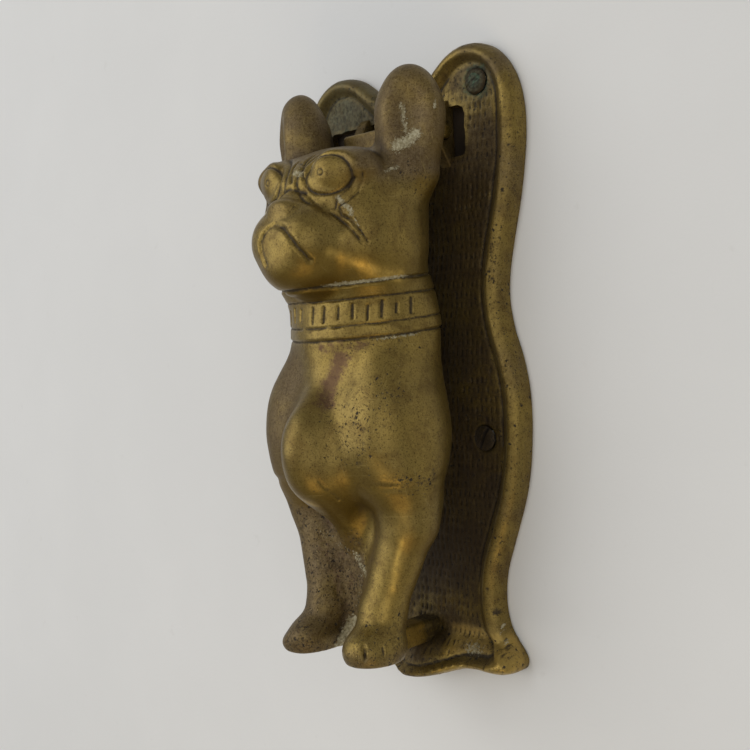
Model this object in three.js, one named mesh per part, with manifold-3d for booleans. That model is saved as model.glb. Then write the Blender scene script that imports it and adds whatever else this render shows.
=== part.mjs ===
// Cast brass door knocker in the form of a standing bulldog.
// A dog-shaped back plate carries a hinged dog casting that swings out from
// the door on a cross pin and falls back on a strike block near its feet.
//
// Frame: millimetres, +Z up, +X to the right as seen from the front,
// -Y towards the visitor. The door face is the plane Y = 0. The origin is on
// the centreline of the plate's back, 6 mm above its lowest point.

import * as THREE from 'three';
import { mergeVertices } from 'three/addons/utils/BufferGeometryUtils.js';
import Module from 'manifold-3d';

const wasm = await Module();
wasm.setup();

// ---------------------------------------------------------------- dimensions
const PLATE_TOP = 160;          // nominal top of the ear lobes
const PLATE_BOTTOM = -6;        // lowest point of the foot of the plate
const PLATE_HALF_SPAN = 40;     // half width covered by the plate's grid
const PLATE_CELL = 3.3;         // facet size of the plate
const EDGE_T = 1.2;             // thickness of the plate at its outer edge
const PANEL_T = 2.8;            // thickness of the recessed panel

const RIM = {
  height: 2.7,                  // how far the rim bead stands above the panel
  width: 7.2,
  footNarrowing: 3.7,           // width lost round the foot
  earNarrowing: 2.2,            // width lost round the ear lobes
  narrowHeightShare: 0.62,      // share of the height left where the foot narrows it
};
const SHELF = {                 // the foot of the plate turns forward into a shelf
  top: 6.6,
  reach: 4.4,
  middleReach: 5.4,             // extra reach of the bulge on the centreline
  middleSpread: 8,
  cornerReach: 1.2,             // extra reach at the outer corners
  roundness: 2.2,               // exponent of the forward curve
  easeIn: 0.22,                 // share of the drop over which the shelf fades in
};
const HOLLOW = {                // hollow in the back of the plate
  wall: 2.3,                    // least wall left in front of it
  depth: 3.4,                   // greatest depth
  land: 3.4,                    // width of the flat land round the edge
};

const WINDOW = { x0: -28.5, x1: 21, z0: 132, z1: 145.2, corner: 2 };
const LUG = { x0: 12.4, x1: 15.8, z0: 128.5, z1: 148.4, y0: -8.0, y1: -0.6 };

const PIN_Y = -4.7;             // hinge axis
const PIN_Z = 139;
const PIN_R = 2.1;
const PIN_HALF = 17.2;
const BARREL_R = 3.8;
const BARREL_HALF = 11.9;
const BORE_R = 2.42;
const PLATE_BORE_HALF = 19;
const DOG_BORE_HALF = 14;

const DOG_WALL = 4.6;           // wall of the hollow dog casting
const DOG_CELL = 3.4;           // facet size of the dog
const DOG_HALF_SPAN = 34;       // half width covered by the dog's grid
const SOLE_Z = 7.2;             // flat soles of the paws
const DOG_HOLLOW = { z0: 44, z1: 117 };
const BACK_TOP = { y: -11.5, z: 140 };    // two points on the leaning back plane
const BACK_FOOT = { y: -19.5, z: 10 };
const LEG_SHIFT = 2;            // how far the -X fore leg stands in towards the middle

const BLOCK = {
  halfWidth: 3.2, z0: 3.2, z1: 9.2, y0: -19.6,
  topChamfer: 1.3, frontChamfer: 0.9,
  stemR: 1.9, stemZ: 6.2,
  gap: 0.32,                    // clearance between the block and the plate
};

const SCREW = {
  headR: 3.4, shankR: 1.75, length: 25,
  gap: 0.35,                    // radial clearance in the plate
  headY: -PANEL_T - 0.35,       // reference plane at the edge of the head
};
const SCREWS = [                // slotTurn is in radians about Y
  { name: 'upper_right', x: 25.4, z: 150.0, slotTurn: 0.5, color: 0x3a5a58, roughness: 0.6 },
  { name: 'lower_left', x: -22.3, z: 58.7, slotTurn: -1.1, color: 0x4a4028, roughness: 0.55 },
  { name: 'lower_right', x: 22.3, z: 58.7, slotTurn: 1.1, color: 0x4a4028, roughness: 0.55 },
];

const BAR_SEGMENTS = 24;
const LATHE_SEGMENTS = 20;
const CORNER_SEGMENTS = 4;

// ------------------------------------------------------------------ helpers
function toManifold(geometry) {
  geometry.deleteAttribute('normal');
  geometry.deleteAttribute('uv');
  const merged = mergeVertices(geometry, 1e-4);
  return new wasm.Manifold(new wasm.Mesh({
    numProp: 3,
    vertProperties: new Float32Array(merged.attributes.position.array),
    triVerts: new Uint32Array(merged.index.array),
  }));
}

function toGeometry(solid) {
  const mesh = solid.getMesh();
  const geometry = new THREE.BufferGeometry();
  const positions = new Float32Array(mesh.vertProperties);
  geometry.setAttribute('position', new THREE.BufferAttribute(positions, 3));
  geometry.setIndex(new THREE.BufferAttribute(new Uint32Array(mesh.triVerts), 1));
  geometry.computeVertexNormals();
  return geometry;
}

function solidFromTriangles(positions, triangles) {
  const geometry = new THREE.BufferGeometry();
  const array = new Float32Array(positions);
  geometry.setAttribute('position', new THREE.BufferAttribute(array, 3));
  geometry.setIndex(triangles);
  return toManifold(geometry);
}

// bar on the hinge axis, centred on X = 0
function hingeBar(radius, half) {
  const geometry = new THREE.CylinderGeometry(radius, radius, 2 * half, BAR_SEGMENTS);
  geometry.rotateZ(Math.PI / 2);
  geometry.translate(0, PIN_Y, PIN_Z);
  return toManifold(geometry);
}

function barY(radius, y0, y1, x, z) {
  const geometry = new THREE.CylinderGeometry(radius, radius, y1 - y0, BAR_SEGMENTS);
  geometry.translate(x, (y0 + y1) / 2, z);
  return toManifold(geometry);
}

function boxGeometry([x0, y0, z0], [x1, y1, z1]) {
  const geometry = new THREE.BoxGeometry(x1 - x0, y1 - y0, z1 - z0);
  geometry.translate((x0 + x1) / 2, (y0 + y1) / 2, (z0 + z1) / 2);
  return geometry;
}

const toVectors = (points) => points.map(([a, b]) => new THREE.Vector2(a, b));

// profile points are [radius, place along Y]
const latheGeometry = (profile) => new THREE.LatheGeometry(toVectors(profile), LATHE_SEGMENTS);

function polygon(points) {
  const shape = new THREE.Shape(toVectors(points));
  shape.closePath();
  return shape;
}

function extrude(shape, depth) {
  const options = { depth, bevelEnabled: false, curveSegments: CORNER_SEGMENTS };
  return new THREE.ExtrudeGeometry(shape, options);
}

// the shape is drawn in Y and Z
function extrudeX(shape, x0, x1) {
  const geometry = extrude(shape, x1 - x0);
  geometry.applyMatrix4(new THREE.Matrix4().makeBasis(
    new THREE.Vector3(0, 1, 0),
    new THREE.Vector3(0, 0, 1),
    new THREE.Vector3(1, 0, 0),
  ));
  geometry.translate(x0, 0, 0);
  return toManifold(geometry);
}

// the shape is drawn in X and Z
function extrudeY(shape, y0, y1) {
  const geometry = extrude(shape, y1 - y0);
  geometry.rotateX(Math.PI / 2);
  geometry.translate(0, y1, 0);
  return toManifold(geometry);
}

// eases from 0 at start to 1 at end; start may be the larger
function smoothstep(start, end, value) {
  const t = Math.min(1, Math.max(0, (value - start) / (end - start)));
  return t * t * (3 - 2 * t);
}

// -------------------------------------------------------- outline of the plate
// [x, z] of the right half, from the notch between the ear lobes to the middle of the foot
const HALF_OUTLINE = [
  [0, 149.4], [3.5, 149.9], [7.0, 151.7], [10.2, 154.0], [12.9, 156.2], [16.0, 158.3],
  [19.5, 159.7], [23.4, 160.1], [27.2, 159.3], [30.8, 157.3], [34.2, 153.7], [36.8, 148.8],
  [38.2, 142.6], [38.3, 135.5], [37.3, 127.5], [35.5, 118.5], [33.0, 109.0], [31.2, 101.0],
  [30.7, 94.0], [31.9, 86.4], [34.0, 79.5], [35.4, 72.0], [35.7, 64.5], [35.2, 56.5],
  [34.2, 49.4], [32.6, 43.0], [30.4, 36.8], [27.9, 30.2], [25.7, 24.0], [24.8, 18.4],
  [24.9, 13.4], [26.0, 9.0], [28.0, 5.8], [29.8, 3.4], [30.8, 1.2], [30.2, -0.8],
  [27.8, -1.9], [23.5, -2.2], [18.8, -2.2], [14.6, -2.6], [10.5, -3.8], [6.5, -5.1],
  [3.2, -5.8], [0, -6.0],
];
const OUTLINE_STEPS = 330;

function traceOutline() {
  const leftHalf = HALF_OUTLINE.slice(1, -1).reverse().map(([x, z]) => [-x, z]);
  const points = HALF_OUTLINE.concat(leftHalf).map(([x, z]) => new THREE.Vector3(x, z, 0));
  const curve = new THREE.CatmullRomCurve3(points, true, 'centripetal');
  return curve.getPoints(OUTLINE_STEPS).slice(0, -1).map((p) => [p.x, p.y]);
}
const OUTLINE = traceOutline();

// nearest point of the outline, and the distance to it, positive inside
function nearestOutline(x, z) {
  const nearest = { x: 0, z: 0 };
  let best = Infinity;
  let inside = false;
  for (let i = 0, j = OUTLINE.length - 1; i < OUTLINE.length; j = i++) {
    const [startX, startZ] = OUTLINE[j];
    const [endX, endZ] = OUTLINE[i];
    const dx = endX - startX;
    const dz = endZ - startZ;
    const along = ((x - startX) * dx + (z - startZ) * dz) / (dx * dx + dz * dz);
    const t = Math.min(1, Math.max(0, along));
    const nearX = startX + dx * t;
    const nearZ = startZ + dz * t;
    const squared = (x - nearX) ** 2 + (z - nearZ) ** 2;
    if (squared < best) {
      best = squared;
      nearest.x = nearX;
      nearest.z = nearZ;
    }
    const spans = (startZ > z) !== (endZ > z);
    if (spans && x < (dx * (z - startZ)) / dz + startX) inside = !inside;
  }
  const distance = Math.sqrt(best);
  return { distance: inside ? distance : -distance, ...nearest };
}

// ---------------------------------------------------------- relief of the plate
function shelfReach(x, z) {
  const side = Math.abs(x);
  const reach = SHELF.reach
    + SHELF.middleReach * Math.exp(-((side / SHELF.middleSpread) ** 2))
    + SHELF.cornerReach * smoothstep(19, 26, side);
  const drop = Math.min(1, Math.max(0, (SHELF.top - z) / (SHELF.top - PLATE_BOTTOM)));
  return reach * (1 - (1 - drop) ** SHELF.roundness) * smoothstep(0, SHELF.easeIn, drop);
}

function rimWidth(x, z) {
  return RIM.width
    - RIM.footNarrowing * smoothstep(9, 0.5, z) * smoothstep(29, 21, Math.abs(x))
    - RIM.earNarrowing * smoothstep(138, 154, z);
}

// how far the front stands off the door, at a distance inside the outline
function frontHeight(x, z, distance) {
  const width = rimWidth(x, z);
  const crest = width * 0.5;
  const fullness = (width - (RIM.width - RIM.footNarrowing)) / RIM.footNarrowing;
  const share = RIM.narrowHeightShare + (1 - RIM.narrowHeightShare) * fullness;
  const rimHeight = RIM.height * share;
  const shelf = shelfReach(x, z);
  const panel = PANEL_T + shelf;
  const edge = EDGE_T + shelf * 0.5;
  if (distance < crest) {
    const u = 1 - distance / crest;
    return edge + (panel + rimHeight - edge) * Math.sqrt(Math.max(0, 1 - u * u));
  }
  return panel + rimHeight * (1 - smoothstep(crest, width, distance));
}

// depth of the hollow in the back; zero on the lands that touch the door
function backHollow(x, z, distance, height) {
  let share = smoothstep(HOLLOW.land, HOLLOW.land + 2.6, distance);
  for (const screw of SCREWS) {
    share *= smoothstep(6.0, 8.6, Math.hypot(x - screw.x, z - screw.z));
  }
  const windowX = Math.max(WINDOW.x0 - x, x - WINDOW.x1, 0);
  const windowZ = Math.max(WINDOW.z0 - z, z - WINDOW.z1, 0);
  share *= smoothstep(4.6, 7.2, Math.hypot(windowX, windowZ));
  share *= smoothstep(10.5, 14.5, z);
  return Math.max(0, Math.min(height - HOLLOW.wall, HOLLOW.depth)) * share;
}

// ---------------------------------------------------------------- back plate
// grid nodes over the plate; those close to the outline are moved onto it
function plateNodes(startX, startZ, columns, rows) {
  const nodes = [];
  for (let j = 0; j < rows; j++) {
    for (let i = 0; i < columns; i++) {
      const x = startX + i * PLATE_CELL;
      const z = startZ + j * PLATE_CELL;
      const near = nearestOutline(x, z);
      const snap = Math.abs(near.distance) < 0.34 * PLATE_CELL;
      nodes.push(snap ? { x: near.x, z: near.z, distance: 0 } : { x, z, distance: near.distance });
    }
  }
  return nodes;
}

// flat triangle mesh in X and Z that fills the outline
function fillOutline() {
  const halfColumns = Math.ceil(PLATE_HALF_SPAN / PLATE_CELL);
  const startZ = PLATE_BOTTOM - 2.2 * PLATE_CELL;
  const columns = 2 * halfColumns + 1;
  const rows = Math.ceil((PLATE_TOP - startZ) / PLATE_CELL) + 2;
  const nodes = plateNodes(-halfColumns * PLATE_CELL, startZ, columns, rows);
  const points = [];
  const triangles = [];
  const pointIds = new Map();   // by node, or by the pair of nodes round a crossing

  const pointId = (key, place) => {
    if (!pointIds.has(key)) pointIds.set(key, points.push(place()) - 1);
    return pointIds.get(key);
  };
  const nodePoint = (k) => pointId(k, () => [nodes[k].x, nodes[k].z]);
  const crossingPoint = (a, b) => pointId(a < b ? `${a}_${b}` : `${b}_${a}`, () => {
    const [inner, outer] = nodes[a].distance > 0 ? [nodes[a], nodes[b]] : [nodes[b], nodes[a]];
    const between = (t) => [
      inner.x + (outer.x - inner.x) * t,
      inner.z + (outer.z - inner.z) * t,
    ];
    let low = 0;
    let high = 1;
    for (let step = 0; step < 24; step++) {
      const middle = (low + high) / 2;
      if (nearestOutline(...between(middle)).distance > 0) low = middle;
      else high = middle;
    }
    return between(low);
  });

  const isOutside = (corners) => {
    if (corners.some((k) => nodes[k].distance > 0)) return false;
    if (corners.some((k) => nodes[k].distance < 0)) return true;
    // all three corners are on the outline, so the middle decides
    const x = corners.reduce((sum, k) => sum + nodes[k].x, 0) / 3;
    const z = corners.reduce((sum, k) => sum + nodes[k].z, 0) / 3;
    return nearestOutline(x, z).distance <= 0.02;
  };
  const clip = (...corners) => {
    if (isOutside(corners)) return;
    const ring = [];
    corners.forEach((a, n) => {
      const b = corners[(n + 1) % 3];
      const here = nodes[a].distance;
      const next = nodes[b].distance;
      if (here >= 0) ring.push(nodePoint(a));
      if ((here > 0 && next < 0) || (here < 0 && next > 0)) ring.push(crossingPoint(a, b));
    });
    for (let n = 1; n + 1 < ring.length; n++) triangles.push([ring[0], ring[n], ring[n + 1]]);
  };

  for (let j = 0; j + 1 < rows; j++) {
    for (let i = 0; i + 1 < columns; i++) {
      const a = j * columns + i;
      const b = a + 1;
      const c = a + columns + 1;
      const d = a + columns;
      // the diagonals mirror about the centreline
      if (i < halfColumns) {
        clip(a, b, d);
        clip(b, c, d);
      } else {
        clip(a, b, c);
        clip(a, c, d);
      }
    }
  }
  return { points, triangles };
}

function buildPlateCasting() {
  const { points, triangles } = fillOutline();
  const count = points.length;
  const front = [];
  const back = [];
  for (const [x, z] of points) {
    const near = nearestOutline(x, z).distance;
    const height = frontHeight(x, z, near < 0.05 ? 0 : near);
    front.push(x, -height, z);
    back.push(x, -backHollow(x, z, near, height), z);
  }

  const faces = [];
  const openEdges = new Map();
  for (const [a, b, c] of triangles) {
    faces.push(a, b, c);                              // front, facing -Y
    faces.push(a + count, c + count, b + count);      // back, facing +Y
    for (const [p, q] of [[a, b], [b, c], [c, a]]) {
      const opposite = `${q}_${p}`;
      if (openEdges.has(opposite)) openEdges.delete(opposite);
      else openEdges.set(`${p}_${q}`, [p, q]);
    }
  }
  for (const [p, q] of openEdges.values()) {
    faces.push(q, p, p + count, q, p + count, q + count);
  }
  return solidFromTriangles(front.concat(back), faces);
}

function buildWindowCutter() {
  const { x0, x1, z0, z1, corner } = WINDOW;
  const shape = new THREE.Shape();
  shape.moveTo(x0 + corner, z0);
  shape.lineTo(x1 - corner, z0);
  shape.quadraticCurveTo(x1, z0, x1, z0 + corner);
  shape.lineTo(x1, z1 - corner);
  shape.quadraticCurveTo(x1, z1, x1 - corner, z1);
  shape.lineTo(x0 + corner, z1);
  shape.quadraticCurveTo(x0, z1, x0, z1 - corner);
  shape.lineTo(x0, z0 + corner);
  shape.quadraticCurveTo(x0, z0, x0 + corner, z0);
  return extrudeY(shape, -15, 15);
}

function buildLug(x0, x1) {
  const { z0, z1, y0, y1 } = LUG;
  const shoulderZ = z1 - 1.4;
  const noseHalf = 1.6;         // half height of the flat nose
  const slopeHalf = 3.2;        // half height where the slopes to the nose begin
  const slopeY = y0 + 1.2;
  return extrudeX(polygon([
    [y1, z0], [y1, shoulderZ], [-3.4, shoulderZ],
    [slopeY, PIN_Z + slopeHalf], [y0, PIN_Z + noseHalf],
    [y0, PIN_Z - noseHalf], [slopeY, PIN_Z - slopeHalf],
    [-2.0, z0],
  ]), x0, x1);
}

// clearance hole, countersink and a bore that clears the relief in front of the head
function cutScrewHole(plate, { x, z }) {
  const headR = SCREW.headR + SCREW.gap;
  const shankR = SCREW.shankR + SCREW.gap;
  const countersink = new THREE.CylinderGeometry(headR, shankR, 2.0, BAR_SEGMENTS);
  countersink.rotateX(Math.PI);                       // wide end towards -Y
  countersink.translate(x, -PANEL_T + 0.9, z);
  return plate
    .subtract(barY(shankR, -14, 2, x, z))
    .subtract(toManifold(countersink))
    .subtract(barY(headR, -14, -PANEL_T - 0.09, x, z));
}

function buildPlate() {
  let plate = buildPlateCasting().subtract(buildWindowCutter());
  // two lugs stand across the window and carry the pin
  plate = plate.add(buildLug(-LUG.x1, -LUG.x0));
  plate = plate.add(buildLug(LUG.x0, LUG.x1));
  plate = plate.subtract(hingeBar(BORE_R, PLATE_BORE_HALF));
  for (const screw of SCREWS) plate = cutScrewHole(plate, screw);
  return plate.subtract(barY(BLOCK.stemR + BLOCK.gap, -16, 2, 0, BLOCK.stemZ));
}

// ----------------------------------------------------------- distance fields
// each shape is a function of x, y, z, negative inside
// turn is in degrees about the ellipsoid's own Z axis
function ellipsoid([centreX, centreY, centreZ], [a, b, c], turn = 0) {
  const cos = Math.cos((turn * Math.PI) / 180);
  const sin = Math.sin((turn * Math.PI) / 180);
  return (px, py, pz) => {
    const dx = px - centreX;
    const dy = py - centreY;
    const x = cos * dx + sin * dy;
    const y = -sin * dx + cos * dy;
    const z = pz - centreZ;
    const scaled = Math.hypot(x / a, y / b, z / c);
    const gradient = Math.hypot(x / a ** 2, y / b ** 2, z / c ** 2) + 1e-9;
    return (scaled * (scaled - 1)) / gradient;
  };
}

// round cone between two balls; stretch, 1 or more, widens it along X
function capsule([x1, y1, z1], [x2, y2, z2], startR, endR, stretch = 1) {
  const startX = x1 / stretch;
  const axisX = x2 / stretch - startX;
  const axisY = y2 - y1;
  const axisZ = z2 - z1;
  const length2 = axisX * axisX + axisY * axisY + axisZ * axisZ;
  const taper = startR - endR;
  const slant2 = length2 - taper * taper;
  const inverse2 = 1 / length2;
  return (x, y, z) => {
    const px = x / stretch - startX;
    const py = y - y1;
    const pz = z - z1;
    const along = px * axisX + py * axisY + pz * axisZ;
    const past = along - length2;
    const offX = px * length2 - axisX * along;
    const offY = py * length2 - axisY * along;
    const offZ = pz * length2 - axisZ * along;
    const off2 = offX * offX + offY * offY + offZ * offZ;
    const along2 = along * along * length2;
    const past2 = past * past * length2;
    const limit = Math.sign(taper) * taper * taper * off2;
    if (Math.sign(past) * slant2 * past2 > limit) {
      return Math.sqrt(off2 + past2) * inverse2 - endR;
    }
    if (Math.sign(along) * slant2 * along2 < limit) {
      return Math.sqrt(off2 + along2) * inverse2 - startR;
    }
    return (Math.sqrt(off2 * slant2 * inverse2) + along * taper) * inverse2 - startR;
  };
}

function roundedBox([centreX, centreY, centreZ], [halfX, halfY, halfZ], corner) {
  return (px, py, pz) => {
    const x = Math.abs(px - centreX) - (halfX - corner);
    const y = Math.abs(py - centreY) - (halfY - corner);
    const z = Math.abs(pz - centreZ) - (halfZ - corner);
    const outside = Math.hypot(Math.max(x, 0), Math.max(y, 0), Math.max(z, 0));
    return outside + Math.min(Math.max(x, y, z), 0) - corner;
  };
}

function softMin(a, b, blend) {
  if (blend <= 0) return Math.min(a, b);
  const overlap = Math.max(blend - Math.abs(a - b), 0) / blend;
  return Math.min(a, b) - overlap * overlap * blend * 0.25;
}
const softMax = (a, b, blend) => -softMin(-a, -b, blend);

// --------------------------------------------------------------- dog casting
const ONE = false;
const PAIR = true;              // mirrored on both flanks
// one or a pair, blend radius, shape; joined in this order
const DOG_PARTS = [
  [ONE, 0, ellipsoid([0, -33.6, 59.5], [9.6, 17.8, 15.5])],               // breast bone
  [ONE, 4, capsule([0, -40.2, 54], [0, -29.0, 38.6], 7.8, 4.2)],          // keel to the legs
  [ONE, 10, ellipsoid([0, -24.0, 81], [13.8, 15.0, 18])],                 // upper chest
  [ONE, 6, ellipsoid([0, -18.5, 86], [20.4, 9.5, 24])],                   // withers
  [ONE, 6, capsule([0, -24.2, 90], [0, -25, 105], 14.8, 14.6, 1.36)],     // neck
  [PAIR, 8, ellipsoid([14.9, -27.3, 62.8], [11.6, 14.9, 20.5])],          // shoulder
  [PAIR, 4, capsule([16.8, -28.4, 54], [16.9, -27.3, 41], 9.0, 7.0)],     // upper arm
  [PAIR, 2.5, ellipsoid([17.6, -25.8, 45.5], [6.0, 7.8, 7.0])],           // elbow
  [PAIR, 3, capsule([16.6, -27.6, 40], [10.4, -32.1, 18], 6.8, 5.5)],     // fore leg
  [PAIR, 3, capsule([10.4, -32.2, 18], [11.2, -35, 11], 5.5, 6.0)],       // pastern
  [PAIR, 2.5, ellipsoid([11.4, -36.6, 10.2], [7.2, 8.7, 6.0])],           // paw
  [ONE, 6, roundedBox([0, -25.5, 25.5], [8.0, 5.2, 18.8], 2.5)],          // web between the legs
  [ONE, 5, ellipsoid([0, -26, 118.5], [22.2, 18.2, 16.6])],               // skull
  [ONE, 5, ellipsoid([0, -33, 121.5], [15, 12.5, 10.5])],                 // forehead
  [PAIR, 6, ellipsoid([11.5, -29.5, 110], [10.8, 13.5, 11.5])],           // cheek
  [ONE, 4, ellipsoid([0, -40.5, 109.8], [12.4, 12.0, 11.4])],             // muzzle
  [PAIR, 3, ellipsoid([5.8, -43.6, 111], [6.9, 8.0, 8.0])],               // flews
  [ONE, 3, ellipsoid([0, -42, 104.8], [9.4, 10.0, 7.0])],                 // lower jaw
  [ONE, 2, ellipsoid([0, -48.2, 118.6], [4.6, 2.6, 2.6])],                // nose
  [PAIR, 3, ellipsoid([11, -35.5, 127.5], [8.8, 7, 5.2])],                // brow
  [PAIR, 0.8, ellipsoid([11.0, -40.3, 126.6], [5.9, 3.2, 5.2], 30)],      // eye
  [PAIR, 4, ellipsoid([19.7, -22.2, 140.9], [8.5, 6.6, 11.8], 20)],       // ear
  [PAIR, 4, capsule([17.4, -21.4, 127], [19.5, -22, 140], 7.4, 6.8, 1.1)], // root of the ear
];
const earHollow = ellipsoid([25.4, -29.2, 139.4], [4.6, 4.8, 8.8], 40);

function bodyDistance(x, y, z) {
  const mirroredX = Math.sqrt(x * x + 1);             // rounds the crease at X = 0
  let distance = Infinity;
  for (const [paired, blend, shape] of DOG_PARTS) {
    distance = softMin(distance, shape(paired ? mirroredX : x, y, z), blend);
  }
  return softMax(distance, -earHollow(mirroredX, y, z), 4);
}

const BACK_SLOPE = (BACK_TOP.y - BACK_FOOT.y) / (BACK_TOP.z - BACK_FOOT.z);

function dogDistance(x, y, z) {
  // the -X fore leg stands closer to the middle than the +X one
  const shift = LEG_SHIFT
    * smoothstep(46, 36, z) * smoothstep(8.5, 13, z) * smoothstep(-1, -8, x);
  const body = bodyDistance(x - shift, y, z);
  const backY = BACK_TOP.y + BACK_SLOPE * (z - BACK_TOP.z);
  const back = (y - backY) / Math.sqrt(1 + BACK_SLOPE * BACK_SLOPE);
  let distance = softMax(body, back, 1.2);
  distance = softMax(distance, SOLE_Z - z, 0.6);
  // the casting is hollow from behind between the elbows and the jaw
  const aboveElbows = softMax(body + DOG_WALL, DOG_HOLLOW.z0 - z, 3);
  const hollow = softMax(aboveElbows, z - DOG_HOLLOW.z1, 3);
  return softMax(distance, -hollow, 1.0);
}

// ------------------------------------------------------- surface from a field
const CORNERS = [
  [0, 0, 0], [1, 0, 0], [0, 1, 0], [1, 1, 0], [0, 0, 1], [1, 0, 1], [0, 1, 1], [1, 1, 1],
];
const CELL_EDGES = [            // pairs of corners: four along X, four along Y, four along Z
  [0, 1], [2, 3], [4, 5], [6, 7],
  [0, 2], [1, 3], [4, 6], [5, 7],
  [0, 4], [1, 5], [2, 6], [3, 7],
];
const CELL_FACES = [            // rings of corners
  [0, 2, 6, 4], [1, 3, 7, 5], [0, 1, 5, 4], [2, 3, 7, 6], [0, 1, 3, 2], [4, 5, 7, 6],
];
// edge n of a face runs from its corner n to its next corner
const FACE_EDGES = CELL_FACES.map((face) => face.map((corner, n) => {
  const next = face[(n + 1) % 4];
  return CELL_EDGES.findIndex((edge) => edge.includes(corner) && edge.includes(next));
}));
// step along a grid edge, and the ring of cells round it: cell offset, edge number in that cell
const EDGE_RINGS = [
  { step: [1, 0, 0], ring: [[0, -1, -1, 3], [0, 0, -1, 2], [0, 0, 0, 0], [0, -1, 0, 1]] },
  { step: [0, 1, 0], ring: [[-1, 0, -1, 7], [-1, 0, 0, 5], [0, 0, 0, 4], [0, 0, -1, 6]] },
  { step: [0, 0, 1], ring: [[-1, -1, 0, 11], [0, -1, 0, 10], [0, 0, 0, 8], [-1, 0, 0, 9]] },
];

// groups the cut edges of a cell, one group for each sheet of surface in it
function cellSheets(values) {
  const link = CELL_EDGES.map((_, edge) => edge);
  const root = (edge) => {
    while (link[edge] !== edge) edge = link[edge];
    return edge;
  };
  const isCut = (edge) => {
    const [a, b] = CELL_EDGES[edge];
    return (values[a] < 0) !== (values[b] < 0);
  };
  CELL_FACES.forEach((face, f) => {
    const edges = FACE_EDGES[f];
    const cut = edges.filter(isCut);
    if (cut.length === 2) link[root(cut[0])] = root(cut[1]);
    if (cut.length === 4) {
      face.forEach((corner, n) => {
        if (values[corner] < 0) link[root(edges[n])] = root(edges[(n + 3) % 4]);
      });
    }
  });
  const sheets = new Map();
  CELL_EDGES.forEach((_, edge) => {
    if (!isCut(edge)) return;
    const key = root(edge);
    if (!sheets.has(key)) sheets.set(key, []);
    sheets.get(key).push(edge);
  });
  return [...sheets.values()];
}

// mean of the points where the surface cuts the edges, in cell units
function sheetCentre(edges, values) {
  const sum = [0, 0, 0];
  for (const edge of edges) {
    const [a, b] = CELL_EDGES[edge];
    const t = values[a] / (values[a] - values[b]);
    for (let axis = 0; axis < 3; axis++) {
      sum[axis] += CORNERS[a][axis] + (CORNERS[b][axis] - CORNERS[a][axis]) * t;
    }
  }
  return sum.map((total) => total / edges.length);
}

// moves a point onto the surface, by at most 0.3 of a cell on each axis
function settle(start, distanceAt, cell) {
  const probe = 0.05;
  const limit = cell * 0.3;
  let point = start;
  for (let pass = 0; pass < 3; pass++) {
    const distance = distanceAt(...point);
    const gradient = point.map((_, axis) => {
      const ahead = point.slice();
      const behind = point.slice();
      ahead[axis] += probe;
      behind[axis] -= probe;
      return (distanceAt(...ahead) - distanceAt(...behind)) / (2 * probe);
    });
    const squared = gradient[0] ** 2 + gradient[1] ** 2 + gradient[2] ** 2;
    if (squared < 0.05) break;
    point = point.map((value, axis) => value - (distance * gradient[axis]) / squared);
  }
  return point.map((value, axis) => (
    Math.min(start[axis] + limit, Math.max(start[axis] - limit, value))
  ));
}

// visits i, j, k from first up to, not including, the ends; i runs fastest
function eachCell(first, [endI, endJ, endK], visit) {
  for (let k = first; k < endK; k++) {
    for (let j = first; j < endJ; j++) {
      for (let i = first; i < endI; i++) visit(i, j, k);
    }
  }
}

function surfaceSolid(distanceAt, low, high, cell) {
  const size = low.map((value, axis) => Math.ceil((high[axis] - value) / cell) + 1);
  const cellEnds = size.map((count) => count - 1);
  const at = (i, j, k) => i + size[0] * (j + size[1] * k);
  const place = (i, j, k) => [low[0] + i * cell, low[1] + j * cell, low[2] + k * cell];
  const field = new Float64Array(size[0] * size[1] * size[2]);
  eachCell(0, size, (i, j, k) => {
    field[at(i, j, k)] = distanceAt(...place(i, j, k));
  });

  const vertexOfEdge = new Map();
  const positions = [];
  eachCell(0, cellEnds, (i, j, k) => {
    const values = CORNERS.map(([a, b, c]) => field[at(i + a, j + b, k + c)]);
    if (values.every((v) => v < 0) || values.every((v) => v >= 0)) return;
    for (const edges of cellSheets(values)) {
      const [u, v, w] = sheetCentre(edges, values);
      const point = settle(place(i + u, j + v, k + w), distanceAt, cell);
      for (const edge of edges) vertexOfEdge.set(at(i, j, k) * 12 + edge, positions.length / 3);
      positions.push(...point);
    }
  });

  // two triangles across the shorter diagonal
  const triangles = [];
  const vertex = (n) => new THREE.Vector3().fromArray(positions, 3 * n);
  const addQuad = ([a, b, c, d]) => {
    const first = vertex(a).distanceTo(vertex(c));
    const second = vertex(b).distanceTo(vertex(d));
    if (first <= second) triangles.push(a, b, c, a, c, d);
    else triangles.push(b, c, d, b, d, a);
  };
  eachCell(1, cellEnds, (i, j, k) => {
    const inside = field[at(i, j, k)] < 0;
    for (const { step, ring } of EDGE_RINGS) {
      const nextInside = field[at(i + step[0], j + step[1], k + step[2])] < 0;
      if (inside === nextInside) continue;
      const [a, b, c, d] = ring.map(([di, dj, dk, edge]) => (
        vertexOfEdge.get(at(i + di, j + dj, k + dk) * 12 + edge)
      ));
      addQuad(inside ? [a, b, c, d] : [a, d, c, b]);
    }
  });
  return solidFromTriangles(positions, triangles);
}

function buildDog() {
  const halfX = Math.ceil(DOG_HALF_SPAN / DOG_CELL) * DOG_CELL + DOG_CELL / 2;
  const casting = surfaceSolid(dogDistance, [-halfX, -57, 2.3], [halfX, -1, 161.2], DOG_CELL);
  // joins the hinge barrel to the back of the head
  const tang = boxGeometry(
    [-10.4, -16.5, PIN_Z - 7.6],
    [10.4, PIN_Y - 1.0, PIN_Z + 1.6],
  );
  return casting
    .add(toManifold(tang))
    .add(hingeBar(BARREL_R, BARREL_HALF))
    .subtract(hingeBar(BORE_R, DOG_BORE_HALF));
}

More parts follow.
